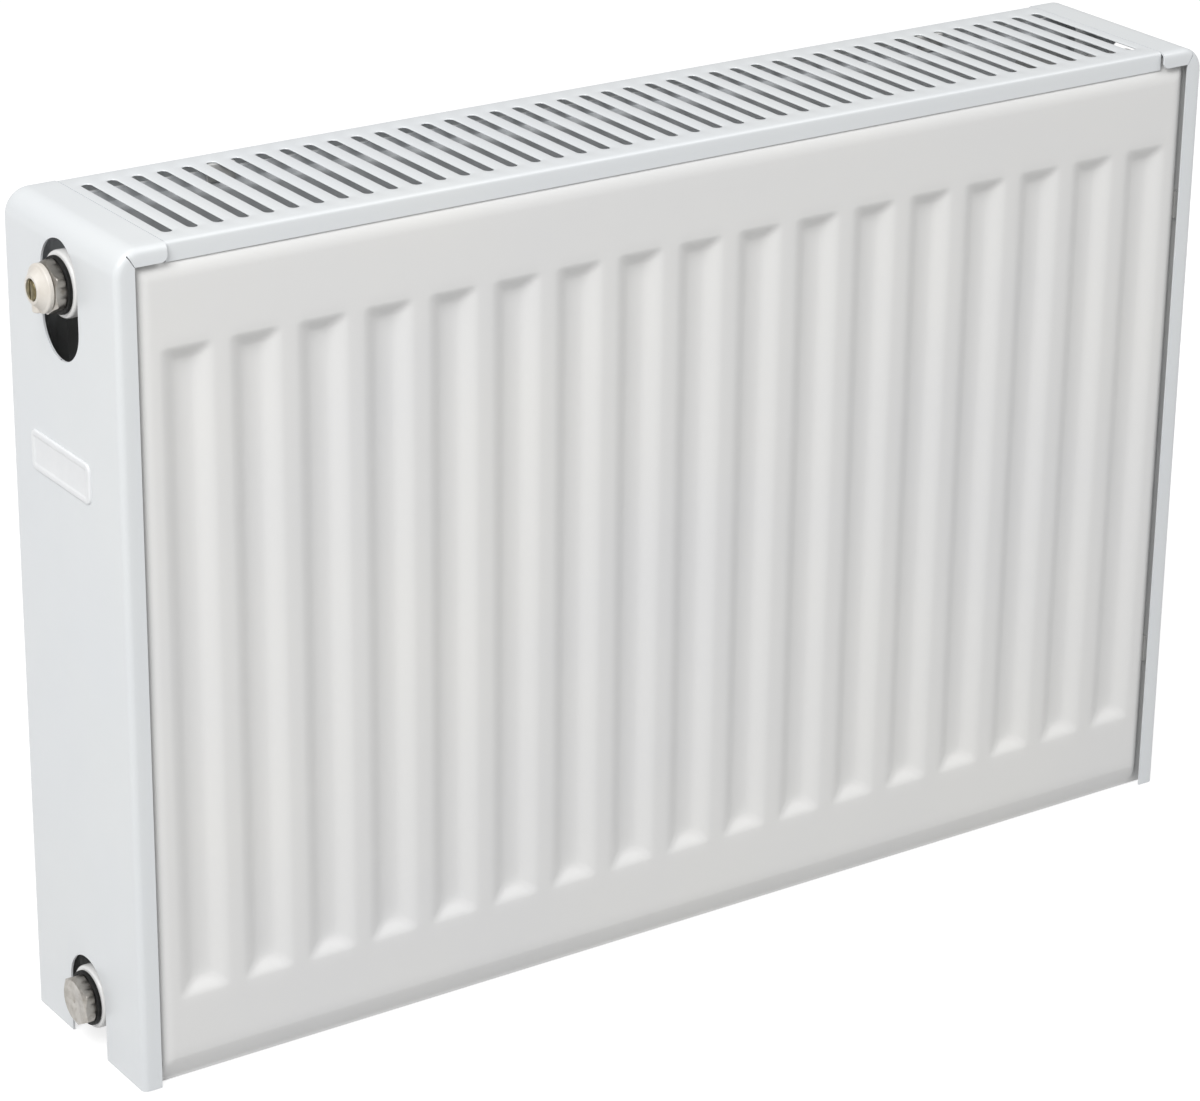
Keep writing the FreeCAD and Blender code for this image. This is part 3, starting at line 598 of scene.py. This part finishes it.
def prism(name, outline, low, high, axis, material):
    """An outline drawn square to the axis, carried from low to high along it."""
    order = {"X": lambda a, b, c: (c, a, b), "Z": lambda a, b, c: (a, b, c)}[axis]
    points = [Vector(order(a, b, end)) for end in (low, high) for a, b in outline]
    count = len(outline)
    faces = [tuple(range(count)), tuple(range(count, 2 * count))[::-1]]
    for index in range(count):
        beside = (index + 1) % count
        faces.append((index, beside, count + beside, count + index))
    return build(name, points, faces, material)


for node in [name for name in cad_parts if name.endswith("_lug")]:
    low, high = box(node)
    near_leg, far_leg = low.x + LUG_FOOT, high.x - LUG_FOOT
    foot_top, crown = low.y + LUG_GAUGE, high.y - LUG_GAUGE
    hat = [(low.x, low.y, 0.0), (near_leg, low.y, LUG_BEND), (near_leg, crown, LUG_BEND),
           (far_leg, crown, LUG_BEND), (far_leg, low.y, LUG_BEND), (high.x, low.y, 0.0),
           (high.x, foot_top, 0.0), (far_leg + LUG_GAUGE, foot_top, LUG_BEND),
           (far_leg + LUG_GAUGE, high.y, 2 * LUG_BEND), (near_leg - LUG_GAUGE, high.y, 2 * LUG_BEND),
           (near_leg - LUG_GAUGE, foot_top, LUG_BEND), (low.x, foot_top, 0.0)]
    strap = prism(node + "_strap", soften(hat), low.z, high.z, "Z", panel_enamel)
    soften_edges(strap, 0.3 * MM, 60.0)
    settle(strap, 40.0)
    fit(strap, "radiator", "panel_enamel", node)

# ---------------------------------------------------------------------------------------------
# Seals. A flat ring of moulded black EPDM rubber under each plug. The plug's hexagon presses it
# against the hub's white face.

SEAL_ROUND = 0.7 * MM


def rubber(name):
    """Moulded rubber, near black with a dry bloom."""
    material, tree, shader = blank_material(name)
    bloom = spread(tree, noise(tree, 300.0), 0.0, 1.0)
    tree.links.new(blend_colours(tree, bloom, (0.006, 0.006, 0.006), (0.016, 0.016, 0.015)),
                   shader.inputs["Base Color"])
    shader.inputs["Specular IOR Level"].default_value = 0.25
    tree.links.new(spread(tree, noise(tree, 900.0), 0.55, 0.75), shader.inputs["Roughness"])
    roughen(tree, shader, ((noise(tree, 1800.0), 0.00008, 0.4),))
    return material


def turned(name, outline, centre, material):
    """A closed outline of (distance outwards, radius) swept round the port's axis."""
    rings = [(-along, radius) for along, radius in outline]
    points, faces = ring_surface(rings, 96, "X", centre)
    return build(name, points, faces, material)


seal_rubber = rubber("seal_rubber")
for node in ("vent_plug_seal", "blind_plug_seal"):
    low, high = box(node)
    outer = (high.z - low.z) / 2
    thick = high.x - low.x
    centre = Vector((high.x, 0.0, (low.z + high.z) / 2))
    section = soften([(0.0, THREAD_MINOR + 0.1 * MM, 0.2 * MM), (0.0, outer, SEAL_ROUND),
                      (thick, outer, SEAL_ROUND), (thick, THREAD_MINOR + 0.1 * MM, 0.2 * MM)])
    ring = turned(node + "_ring", section, centre, seal_rubber)
    smooth(ring.data, 50.0)
    fit(ring, "radiator", "seal_rubber", node)

# ---------------------------------------------------------------------------------------------
# Plugs. Hexagon bar in brass, turned and dull nickel plated: the blind plug closes the lower left
# port and the vent plug the upper one, each with one corner of the hexagon up.

HEX_FLATS = 22.0 * MM
HEX_CHAMFER = 1.5 * MM
HEX_ROUND = 70.0
PLUG_CLEARANCE = 0.06 * MM
SLEEVE_SEAT_RADIUS = 7.05 * MM
SLEEVE_SEAT_DEPTH = 3.6 * MM
HEX_STEPS = 120


def nickel(name, centre):
    """Nickel plate with turning rings round the axis, handling scratches and tarnish."""
    material, tree, shader = blank_material(name)
    shader.inputs["Metallic"].default_value = 1.0
    tarnish = spread(tree, noise(tree, 160.0, detail=5.0), 0.0, 1.0)
    base = blend_colours(tree, tarnish, (0.34, 0.32, 0.29), (0.50, 0.48, 0.45))
    stain = spread(tree, noise(tree, 420.0, detail=4.0, centre=(3.0, 1.0, 2.0)), 0.0, 0.6, 0.55, 0.75)
    tree.links.new(blend_colours(tree, stain, base, (0.27, 0.24, 0.20)), shader.inputs["Base Color"])
    tree.links.new(spread(tree, noise(tree, 500.0), 0.30, 0.46), shader.inputs["Roughness"])
    coordinates = tree.nodes.new("ShaderNodeTexCoord")
    mapping = tree.nodes.new("ShaderNodeMapping")
    mapping.inputs["Location"].default_value = (0.0, -centre.y, -centre.z)
    rings = tree.nodes.new("ShaderNodeTexWave")
    rings.wave_type = "RINGS"
    rings.rings_direction = "X"
    rings.inputs["Scale"].default_value = 600.0
    rings.inputs["Distortion"].default_value = 1.2
    rings.inputs["Detail"].default_value = 2.0
    tree.links.new(coordinates.outputs["Object"], mapping.inputs["Vector"])
    tree.links.new(mapping.outputs["Vector"], rings.inputs["Vector"])
    scratches = noise(tree, 900.0, stretch=(0.15, 1.0, 1.0))
    roughen(tree, shader, ((rings.outputs["Fac"], 0.00002, 0.25), (scratches, 0.00003, 0.3)))
    return material


def hexagon(angle):
    """The radius of the hexagon bar, its corners just broken."""
    total = 0.0
    for flat in range(6):
        facing = math.cos(angle - math.radians(30.0 + 60.0 * flat))
        if facing > 0.0:
            total += (facing / (HEX_FLATS / 2)) ** HEX_ROUND
    return total ** (-1.0 / HEX_ROUND)


def hex_ring(limit):
    """The hexagon cut back to a chamfer's cone."""
    return lambda angle: min(hexagon(angle), limit)


def hex_plug(name, node, seal_node, hollow):
    """Shank, flange face and chamfered head; hollow is the radius left open in the end, or 0."""
    low, high = box(node)
    seal_low, seal_high = box(seal_node)
    centre = Vector((seal_high.x, 0.0, (low.z + high.z) / 2))
    under = seal_high.x - seal_low.x
    end = seal_high.x - low.x
    shank = high.x - seal_high.x
    slope = math.tan(math.radians(60.0))
    corner = HEX_FLATS / 2 / math.cos(math.radians(30.0))
    top = corner - HEX_CHAMFER * slope
    chamfer = stations([(end - HEX_CHAMFER, 8), (end, 1)])
    shank_radius = THREAD_MINOR - PLUG_CLEARANCE
    rings = [(-shank, 0.0), (-shank, THREAD_MINOR - 0.8 * MM), (-shank + 0.8 * MM, shank_radius),
             (under, shank_radius), (under, hex_ring(HEX_FLATS / 2)),
             (under + 0.5 * MM, hex_ring(HEX_FLATS / 2 + 0.5 * MM * slope))]
    rings += [(along, hex_ring(corner - (along - end + HEX_CHAMFER) * slope)) for along in chamfer]
    if hollow:
        rings += [(end, hollow), (end - SLEEVE_SEAT_DEPTH, hollow), (end - SLEEVE_SEAT_DEPTH, 0.0)]
    else:
        rings += [(end, 0.55 * top), (end - 0.25 * MM, 0.50 * top), (end - 0.25 * MM, 0.10 * top),
                  (end - 0.9 * MM, 0.0)]
    points, faces = ring_surface([(-along, radius) for along, radius in rings], HEX_STEPS, "X", centre)
    plug = build(name, points, faces[:-HEX_STEPS], nickel(name + "_nickel", centre))
    smooth(plug.data, 28.0)
    fit(plug, "radiator", "nickel", node)


hex_plug("blind_plug_hexagon", "blind_plug", "blind_plug_seal", 0.0)
hex_plug("vent_plug_hexagon", "vent_plug_body", "vent_plug_seal", SLEEVE_SEAT_RADIUS)

# ---------------------------------------------------------------------------------------------
# Vent nozzle. A cream acetal moulding that snaps into the vent plug and turns to point its small
# spout; below it the water runs out clear of the wall when the radiator is bled.

NOZZLE_NOSE = 6.3 * MM
NOZZLE_RIM = 2.2 * MM
NOZZLE_HOLE = 4.9 * MM
NOZZLE_ROUND = 0.8 * MM
SLEEVE_LENGTH = 4.0 * MM
SLEEVE_RADIUS = 7.0 * MM
SPOUT_RADIUS = 2.6 * MM
SPOUT_BORE = 1.3 * MM
SPOUT_STEPS = 40
NOZZLE_CREAM = (0.80, 0.765, 0.71)
NOZZLE_SHADE = (0.70, 0.655, 0.59)


def plastic(name, colour, dull):
    """Moulded plastic: a little uneven in tone, soft sheen, faint flow marks."""
    material, tree, shader = blank_material(name)
    tone = spread(tree, noise(tree, 130.0, detail=4.0), 0.0, 1.0)
    tree.links.new(blend_colours(tree, tone, dull, colour), shader.inputs["Base Color"])
    tree.links.new(spread(tree, noise(tree, 400.0), 0.30, 0.42), shader.inputs["Roughness"])
    roughen(tree, shader, ((noise(tree, 1200.0), 0.00004, 0.2),
                           (noise(tree, 180.0, stretch=(1.0, 0.2, 0.2)), 0.0001, 0.1)))
    return material


low, high = box("vent_nozzle")
port = Vector((high.x, 0.0, (low.z + high.z) / 2))
tip = high.x - low.x
rim = (high.z - low.z) / 2
rim_end = SLEEVE_LENGTH + NOZZLE_RIM
nozzle_outline = soften([
    (0.0, NOZZLE_HOLE, 0.0), (0.0, SLEEVE_RADIUS, 0.3 * MM), (SLEEVE_LENGTH, SLEEVE_RADIUS, 0.3 * MM),
    (SLEEVE_LENGTH, rim, 0.35 * MM), (rim_end, rim, NOZZLE_ROUND),
    (rim_end + 0.5 * MM, rim - 1.3 * MM, 0.5 * MM),
    (tip - 0.7 * MM, NOZZLE_NOSE + 0.7 * MM, 0.8 * MM), (tip, NOZZLE_NOSE, 0.5 * MM),
    (tip, NOZZLE_HOLE + 0.2 * MM, 0.15 * MM), (tip - 0.4 * MM, NOZZLE_HOLE, 0.1 * MM),
])
nozzle_plastic = plastic("nozzle_plastic", NOZZLE_CREAM, NOZZLE_SHADE)
nozzle = turned("nozzle_moulding", nozzle_outline, port, nozzle_plastic)
spout_top = Vector((high.x - SLEEVE_LENGTH - 2.9 * MM, 0.0, port.z - 6.0 * MM))
spout_rings = [(0.0, 0.0), (0.0, SPOUT_RADIUS), (3.9 * MM, SPOUT_RADIUS - 0.2 * MM),
               (4.3 * MM, SPOUT_RADIUS - 0.6 * MM), (4.3 * MM, SPOUT_BORE),
               (2.5 * MM, SPOUT_BORE), (2.5 * MM, 0.0)]
points, faces = ring_surface(spout_rings, SPOUT_STEPS, "X", (0.0, 0.0, 0.0))
turn_down = Matrix.Translation(spout_top) @ Matrix.Rotation(math.radians(90.0), 4, "Y")
points = [turn_down @ point for point in points]
spout = build("nozzle_spout", points, faces[:-SPOUT_STEPS], nozzle_plastic)
for part in (nozzle, spout):
    smooth(part.data, 40.0)
fit(nozzle, "nozzle", "nozzle_plastic", "vent_nozzle")
fit(spout, "nozzle", "nozzle_plastic")

# ---------------------------------------------------------------------------------------------
# Bleed screw. Turned brass, dulled brown by hot water, with a driver slot across its end; half a
# turn opens the seat behind the nozzle.

SCREW_SLOT = 1.2 * MM
SLOT_DEPTH = 1.5 * MM
STEM_RADIUS = 3.0 * MM
HEAD_LENGTH = 9.7 * MM
SCREW_STEPS = 72


def brass(name):
    """Turned brass, dark in its hollows and rubbed bright on its edges."""
    material, tree, shader = blank_material(name)
    shader.inputs["Metallic"].default_value = 0.85
    age = spread(tree, noise(tree, 500.0, detail=5.0), 0.0, 1.0)
    base = blend_colours(tree, age, (0.095, 0.08, 0.04), (0.22, 0.185, 0.10))
    geometry = tree.nodes.new("ShaderNodeNewGeometry")
    rub = spread(tree, geometry.outputs["Pointiness"], 0.0, 0.7, 0.52, 0.60)
    tree.links.new(blend_colours(tree, rub, base, (0.42, 0.35, 0.20)), shader.inputs["Base Color"])
    tree.links.new(spread(tree, noise(tree, 800.0), 0.35, 0.55), shader.inputs["Roughness"])
    roughen(tree, shader, ((noise(tree, 1500.0, detail=4.0), 0.00005, 0.35),))
    return material


low, high = box("bleed_screw")
head = (high.z - low.z) / 2
tip = high.x - low.x
screw_centre = Vector((high.x, 0.0, port.z))
screw_rings = [(0.0, 0.0), (3.0 * MM, STEM_RADIUS), (tip - HEAD_LENGTH, STEM_RADIUS),
               (tip - HEAD_LENGTH, head), (tip - 0.7 * MM, head), (tip - 0.2 * MM, head - 0.25 * MM),
               (tip, head - 0.8 * MM), (tip, 0.0)]
screw_rings = [(-along, radius) for along, radius in screw_rings]
points, faces = ring_surface(screw_rings, SCREW_STEPS, "X", screw_centre)
screw = build("bleed_screw_turned", points, faces[:-SCREW_STEPS], brass("screw_brass"))
half = SCREW_SLOT / 2
slot_cutter = prism("slot_cutter", [(-half, port.z - head - MM), (half, port.z - head - MM),
                                    (half, port.z + head + MM), (-half, port.z + head + MM)],
                    low.x - MM, low.x + SLOT_DEPTH, "X", screw.data.materials[0])


def carve(piece, cutter):
    """Take the cutter's shape out of the piece, then drop the cutter."""
    modifier = piece.modifiers.new("opening", "BOOLEAN")
    modifier.operation = "DIFFERENCE"
    modifier.solver = "EXACT"
    modifier.object = cutter
    settle(piece)
    bpy.data.objects.remove(cutter)


carve(screw, slot_cutter)
soften_edges(screw, 0.12 * MM, 40.0)
settle(screw, 35.0)
fit(screw, "bleed", "screw_brass", "bleed_screw")

# ---------------------------------------------------------------------------------------------
# Side covers. One-millimetre steel: the side runs up over a broad bend into the top flange, and
# narrow lips are folded in at front and rear, with an open mitre where lip and tab meet.
# A long slot and a notch leave the ports free when the cover is lifted off.

COVER_WHITE = (0.772, 0.798, 0.822)
COVER_GAUGE = 1.0 * MM
COVER_BEND = 12.0 * MM
LIP_WIDTH = 9.5 * MM
LIP_BEND = 3.2 * MM
TAB_HEIGHT = 8.0 * MM
TAB_CORNER = 3.0 * MM
LIP_STATIONS = (1.0, 0.66, 0.33)
MITRE_GAP = math.radians(1.5)
MITRE_COLUMNS = 6
SLOT_HALF = 17.0 * MM
SLOT_RISE = 3.5 * MM
SLOT_DROP = 17.5 * MM


def quarter_turn(steps):
    """The angles of a bend, from nothing to a right angle."""
    return [math.radians(90.0 * step / steps) for step in range(steps + 1)]


def cover_profile(width, height):
    """Stations up the side and over the top: (across, up, inward direction, lip width, in mitre)."""
    inner_across = COVER_BEND - LIP_WIDTH
    inner_up = COVER_BEND - TAB_HEIGHT
    mitre = math.atan2(inner_up, inner_across)
    profile = []
    for z in stations([(0.0, 24), (height - COVER_BEND, 1)])[:-1]:
        profile.append((0.0, z, (1.0, 0.0), LIP_WIDTH, False))
    angles = stations([(0.0, 10), (mitre - MITRE_GAP, 1), (mitre + MITRE_GAP, 8), (math.pi / 2, 1)])
    for angle in angles:
        side, rise = math.cos(angle), math.sin(angle)
        reach = []
        if side > 1e-6:
            reach.append(COVER_BEND - inner_across / side)
        if rise > 1e-6:
            reach.append(COVER_BEND - inner_up / rise)
        profile.append((COVER_BEND * (1.0 - side), height - COVER_BEND * (1.0 - rise), (side, -rise),
                        max(reach), abs(angle - mitre + MITRE_GAP) < 1e-6))
    for x in stations([(COVER_BEND, 3), (width - TAB_CORNER, 1)])[1:]:
        profile.append((x, height, (0.0, -1.0), TAB_HEIGHT, False))
    for turn in quarter_turn(8)[1:]:
        cutback = TAB_CORNER * (1.0 - math.cos(turn))
        profile.append((width - TAB_CORNER * (1.0 - math.sin(turn)), height, (0.0, -1.0),
                        TAB_HEIGHT - cutback, False))
    return profile


def side_cover(side):
    """The bent cover with its lips, and its openings for the ports."""
    node = side + "_side_cover"
    low, high = box(node)
    sign = 1.0 if side == "left" else -1.0
    face = low.x if side == "left" else high.x
    deep = (high.y - low.y) / 2
    profile = cover_profile(high.x - low.x, high.z)
    bend = [(LIP_BEND * (1.0 - math.sin(turn)), LIP_BEND * (1.0 - math.cos(turn)) - deep)
            for turn in quarter_turn(6)]
    points = []
    for x, z, (nx, nz), lip, _ in profile:
        section = [(LIP_BEND + (lip - LIP_BEND) * share, -deep) for share in LIP_STATIONS] + bend
        section += [(0.0, y) for y in stations([(LIP_BEND - deep, 10), (0.0, 1)])[1:]]
        section += [(inset, -y) for inset, y in section[-2::-1]]
        for inset, y in section:
            points.append((face + sign * (x + nx * inset), y, z + nz * inset))
    wide = len(points) // len(profile)
    faces = []
    for row in range(len(profile) - 1):
        for column in range(wide - 1):
            if profile[row][4] and (column < MITRE_COLUMNS or column >= wide - 1 - MITRE_COLUMNS):
                continue
            corner = row * wide + column
            quad = (corner, corner + wide, corner + wide + 1, corner + 1)
            faces.append(quad if side == "left" else quad[::-1])
    shell = new_piece(side + "_cover_shell", points, faces, cover_enamel)
    thicken(shell, COVER_GAUGE)
    settle(shell)
    half_circle = [math.pi * step / 32 for step in range(33)]
    for level in ("top", "bottom"):
        hub_low, hub_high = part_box("%s_%s_tee" % (side, level))
        axis_up = (hub_low[2] + hub_high[2]) / 2
        lower = axis_up - SLOT_DROP if level == "top" else low.z - 2.0 * SLOT_HALF
        outline = [(SLOT_HALF * math.cos(turn), axis_up + SLOT_RISE + SLOT_HALF * math.sin(turn))
                   for turn in half_circle]
        outline += [(-SLOT_HALF * math.cos(turn), lower - SLOT_HALF * math.sin(turn))
                    for turn in half_circle]
        cutter = prism("port_cutter", outline, face - 3.0 * MM, face + 3.0 * MM, "X", cover_enamel)
        carve(shell, cutter)
    soften_edges(shell, 0.18 * MM, 55.0)
    settle(shell, 32.0)
    fit(shell, side + "_cover", "cover_enamel", node)


cover_enamel = enamel("cover_enamel", COVER_WHITE)
side_cover("left")
side_cover("right")

# ---------------------------------------------------------------------------------------------
# Badge plate. A blank moulded plate, clipped to the left cover where a maker would sign; its
# field is bare and its edge is rounded over.

BADGE_CORNER = 4.0 * MM
BADGE_LEAST_CORNER = 1.2 * MM
BADGE_EDGE = 0.8 * MM
BADGE_FIELD = ((2.3, 0.0), (2.6, 0.08), (3.1, 0.36), (3.6, 0.42))
BADGE_WHITE = (0.86, 0.87, 0.88)
BADGE_SHADE = (0.83, 0.842, 0.855)

low, high = box("badge_plate")
levels = [(0.0, high.x)]
levels += [(BADGE_EDGE * (1.0 - math.cos(turn)), low.x + BADGE_EDGE * (1.0 - math.sin(turn)))
           for turn in quarter_turn(5)]
levels += [(inset * MM, low.x + sunk * MM) for inset, sunk in BADGE_FIELD]
points, faces = [], []
for inset, x in levels:
    corners = [(low.y + inset, low.z + inset), (high.y - inset, low.z + inset),
               (high.y - inset, high.z - inset), (low.y + inset, high.z - inset)]
    radius = max(BADGE_CORNER - inset, BADGE_LEAST_CORNER)
    points += [(x, y, z) for y, z in soften([(y, z, radius) for y, z in corners], steps=8)]
around = len(points) // len(levels)
for level in range(len(levels) - 1):
    for step in range(around):
        beside = (step + 1) % around
        faces.append((level * around + step, level * around + beside,
                      (level + 1) * around + beside, (level + 1) * around + step))
faces.append(tuple(range(around)))
faces.append(tuple(range((len(levels) - 1) * around, len(levels) * around)))
badge = build("badge_moulding", points, faces, plastic("badge_plastic", BADGE_WHITE, BADGE_SHADE))
smooth(badge.data, 40.0)
fit(badge, "left_cover", "badge_plastic", "badge_plate")

# ---------------------------------------------------------------------------------------------
# Top grille. One strip of steel with a row of long slots punched through it, their edges rolled
# slightly in, and its two long sides folded down over the panels' upper seams.

GRILLE_GAUGE = 1.0 * MM
GRILLE_BEND = 1.8 * MM
VENT_COUNT = 44
VENT_PITCH = 12.4 * MM
VENT_WIDTH = 5.0 * MM
VENT_MARGIN = 11.5 * MM
VENT_ROLL = ((0.55, 0.0), (0.30, 0.07), (0.10, 0.24), (0.0, 0.50))


def vent_contour(half_length):
    """Half of a slot's edge, from its front tip round the right side to its rear tip."""
    radius = VENT_WIDTH / 2
    contour = [((math.sin(turn), -math.cos(turn)), -half_length) for turn in quarter_turn(8)]
    contour += [((1.0, 0.0), -half_length * share) for share in (0.5, 0.0, -0.5)]
    contour += [((math.cos(turn), math.sin(turn)), half_length) for turn in quarter_turn(8)]
    return [(out, (radius * out[0], middle + radius * out[1])) for out, middle in contour]


def grille():
    """The slotted plate, drawn as one surface and then given its gauge."""
    low, high = box("top_grille")
    middle = (low.x + high.x) / 2
    deep = (high.y - low.y) / 2
    contour = vent_contour(deep - VENT_MARGIN - VENT_WIDTH / 2)
    edge_rows = [point[1] + out[1] * VENT_ROLL[0][0] * MM for out, point in contour]
    bend = [(deep - GRILLE_BEND * (1.0 - math.sin(turn)), high.z - GRILLE_BEND * (1.0 - math.cos(turn)))
            for turn in quarter_turn(6)]
    fold = bend + [(deep, (high.z + low.z) / 2), (deep, low.z)]
    points, faces = [], []

    def quad(*corners):
        start = len(points)
        points.extend(corners)
        faces.append(tuple(range(start, start + len(corners))))

    def strip(x_low, x_high):
        """Plain metal in front of and behind the slots, with the bends and the folds."""
        for side in (-1.0, 1.0):
            line = [(abs(edge_rows[-1]), high.z)] + fold
            for (y1, z1), (y2, z2) in zip(line, line[1:]):
                quad((x_low, side * y1, z1), (x_high, side * y1, z1),
                     (x_high, side * y2, z2), (x_low, side * y2, z2))

    for number in range(VENT_COUNT):
        centre = middle + (number - (VENT_COUNT - 1) / 2) * VENT_PITCH
        for side in (-1.0, 1.0):
            border = centre + side * VENT_PITCH / 2
            for index in range(len(contour) - 1):
                pair = (contour[index], contour[index + 1])
                loops = [[(border, edge_rows[index + step], high.z) for step in range(2)]]
                for out_by, down in VENT_ROLL:
                    loops.append([(centre + side * (point[0] + out[0] * out_by * MM),
                                   point[1] + out[1] * out_by * MM, high.z - down * MM)
                                  for out, point in pair])
                for outer, inner in zip(loops, loops[1:]):
                    quad(outer[0], outer[1], inner[1], inner[0])
            strip(min(border, centre), max(border, centre))
    reach = VENT_COUNT * VENT_PITCH / 2
    for x_low, x_high in ((low.x, middle - reach), (middle + reach, high.x)):
        for y1, y2 in zip(edge_rows, edge_rows[1:]):
            quad((x_low, y1, high.z), (x_high, y1, high.z), (x_high, y2, high.z), (x_low, y2, high.z))
        strip(x_low, x_high)
    plate = build("grille_plate", points, faces, enamel("grille_enamel", COVER_WHITE))
    work = bmesh.new()
    work.from_mesh(plate.data)
    work.faces.ensure_lookup_table()
    top = max(work.faces, key=lambda face: face.calc_center_median().z)
    if top.normal.z < 0.0:
        bmesh.ops.reverse_faces(work, faces=work.faces)
    work.to_mesh(plate.data)
    work.free()
    thicken(plate, GRILLE_GAUGE)
    settle(plate, 40.0)
    fit(plate, "grille", "grille_enamel", "top_grille")


grille()

# ---------------------------------------------------------------------------------------------
# Clips. Small mouldings in off-white nylon that grip the panels' welded seams. They hold the two
# covers and the grille in place.

clip_plastic = plastic("clip_plastic", (0.60, 0.60, 0.59), (0.54, 0.54, 0.53))
repaint(clip_plastic, "left_cover_clips", "right_cover_clips", "grille_clips")
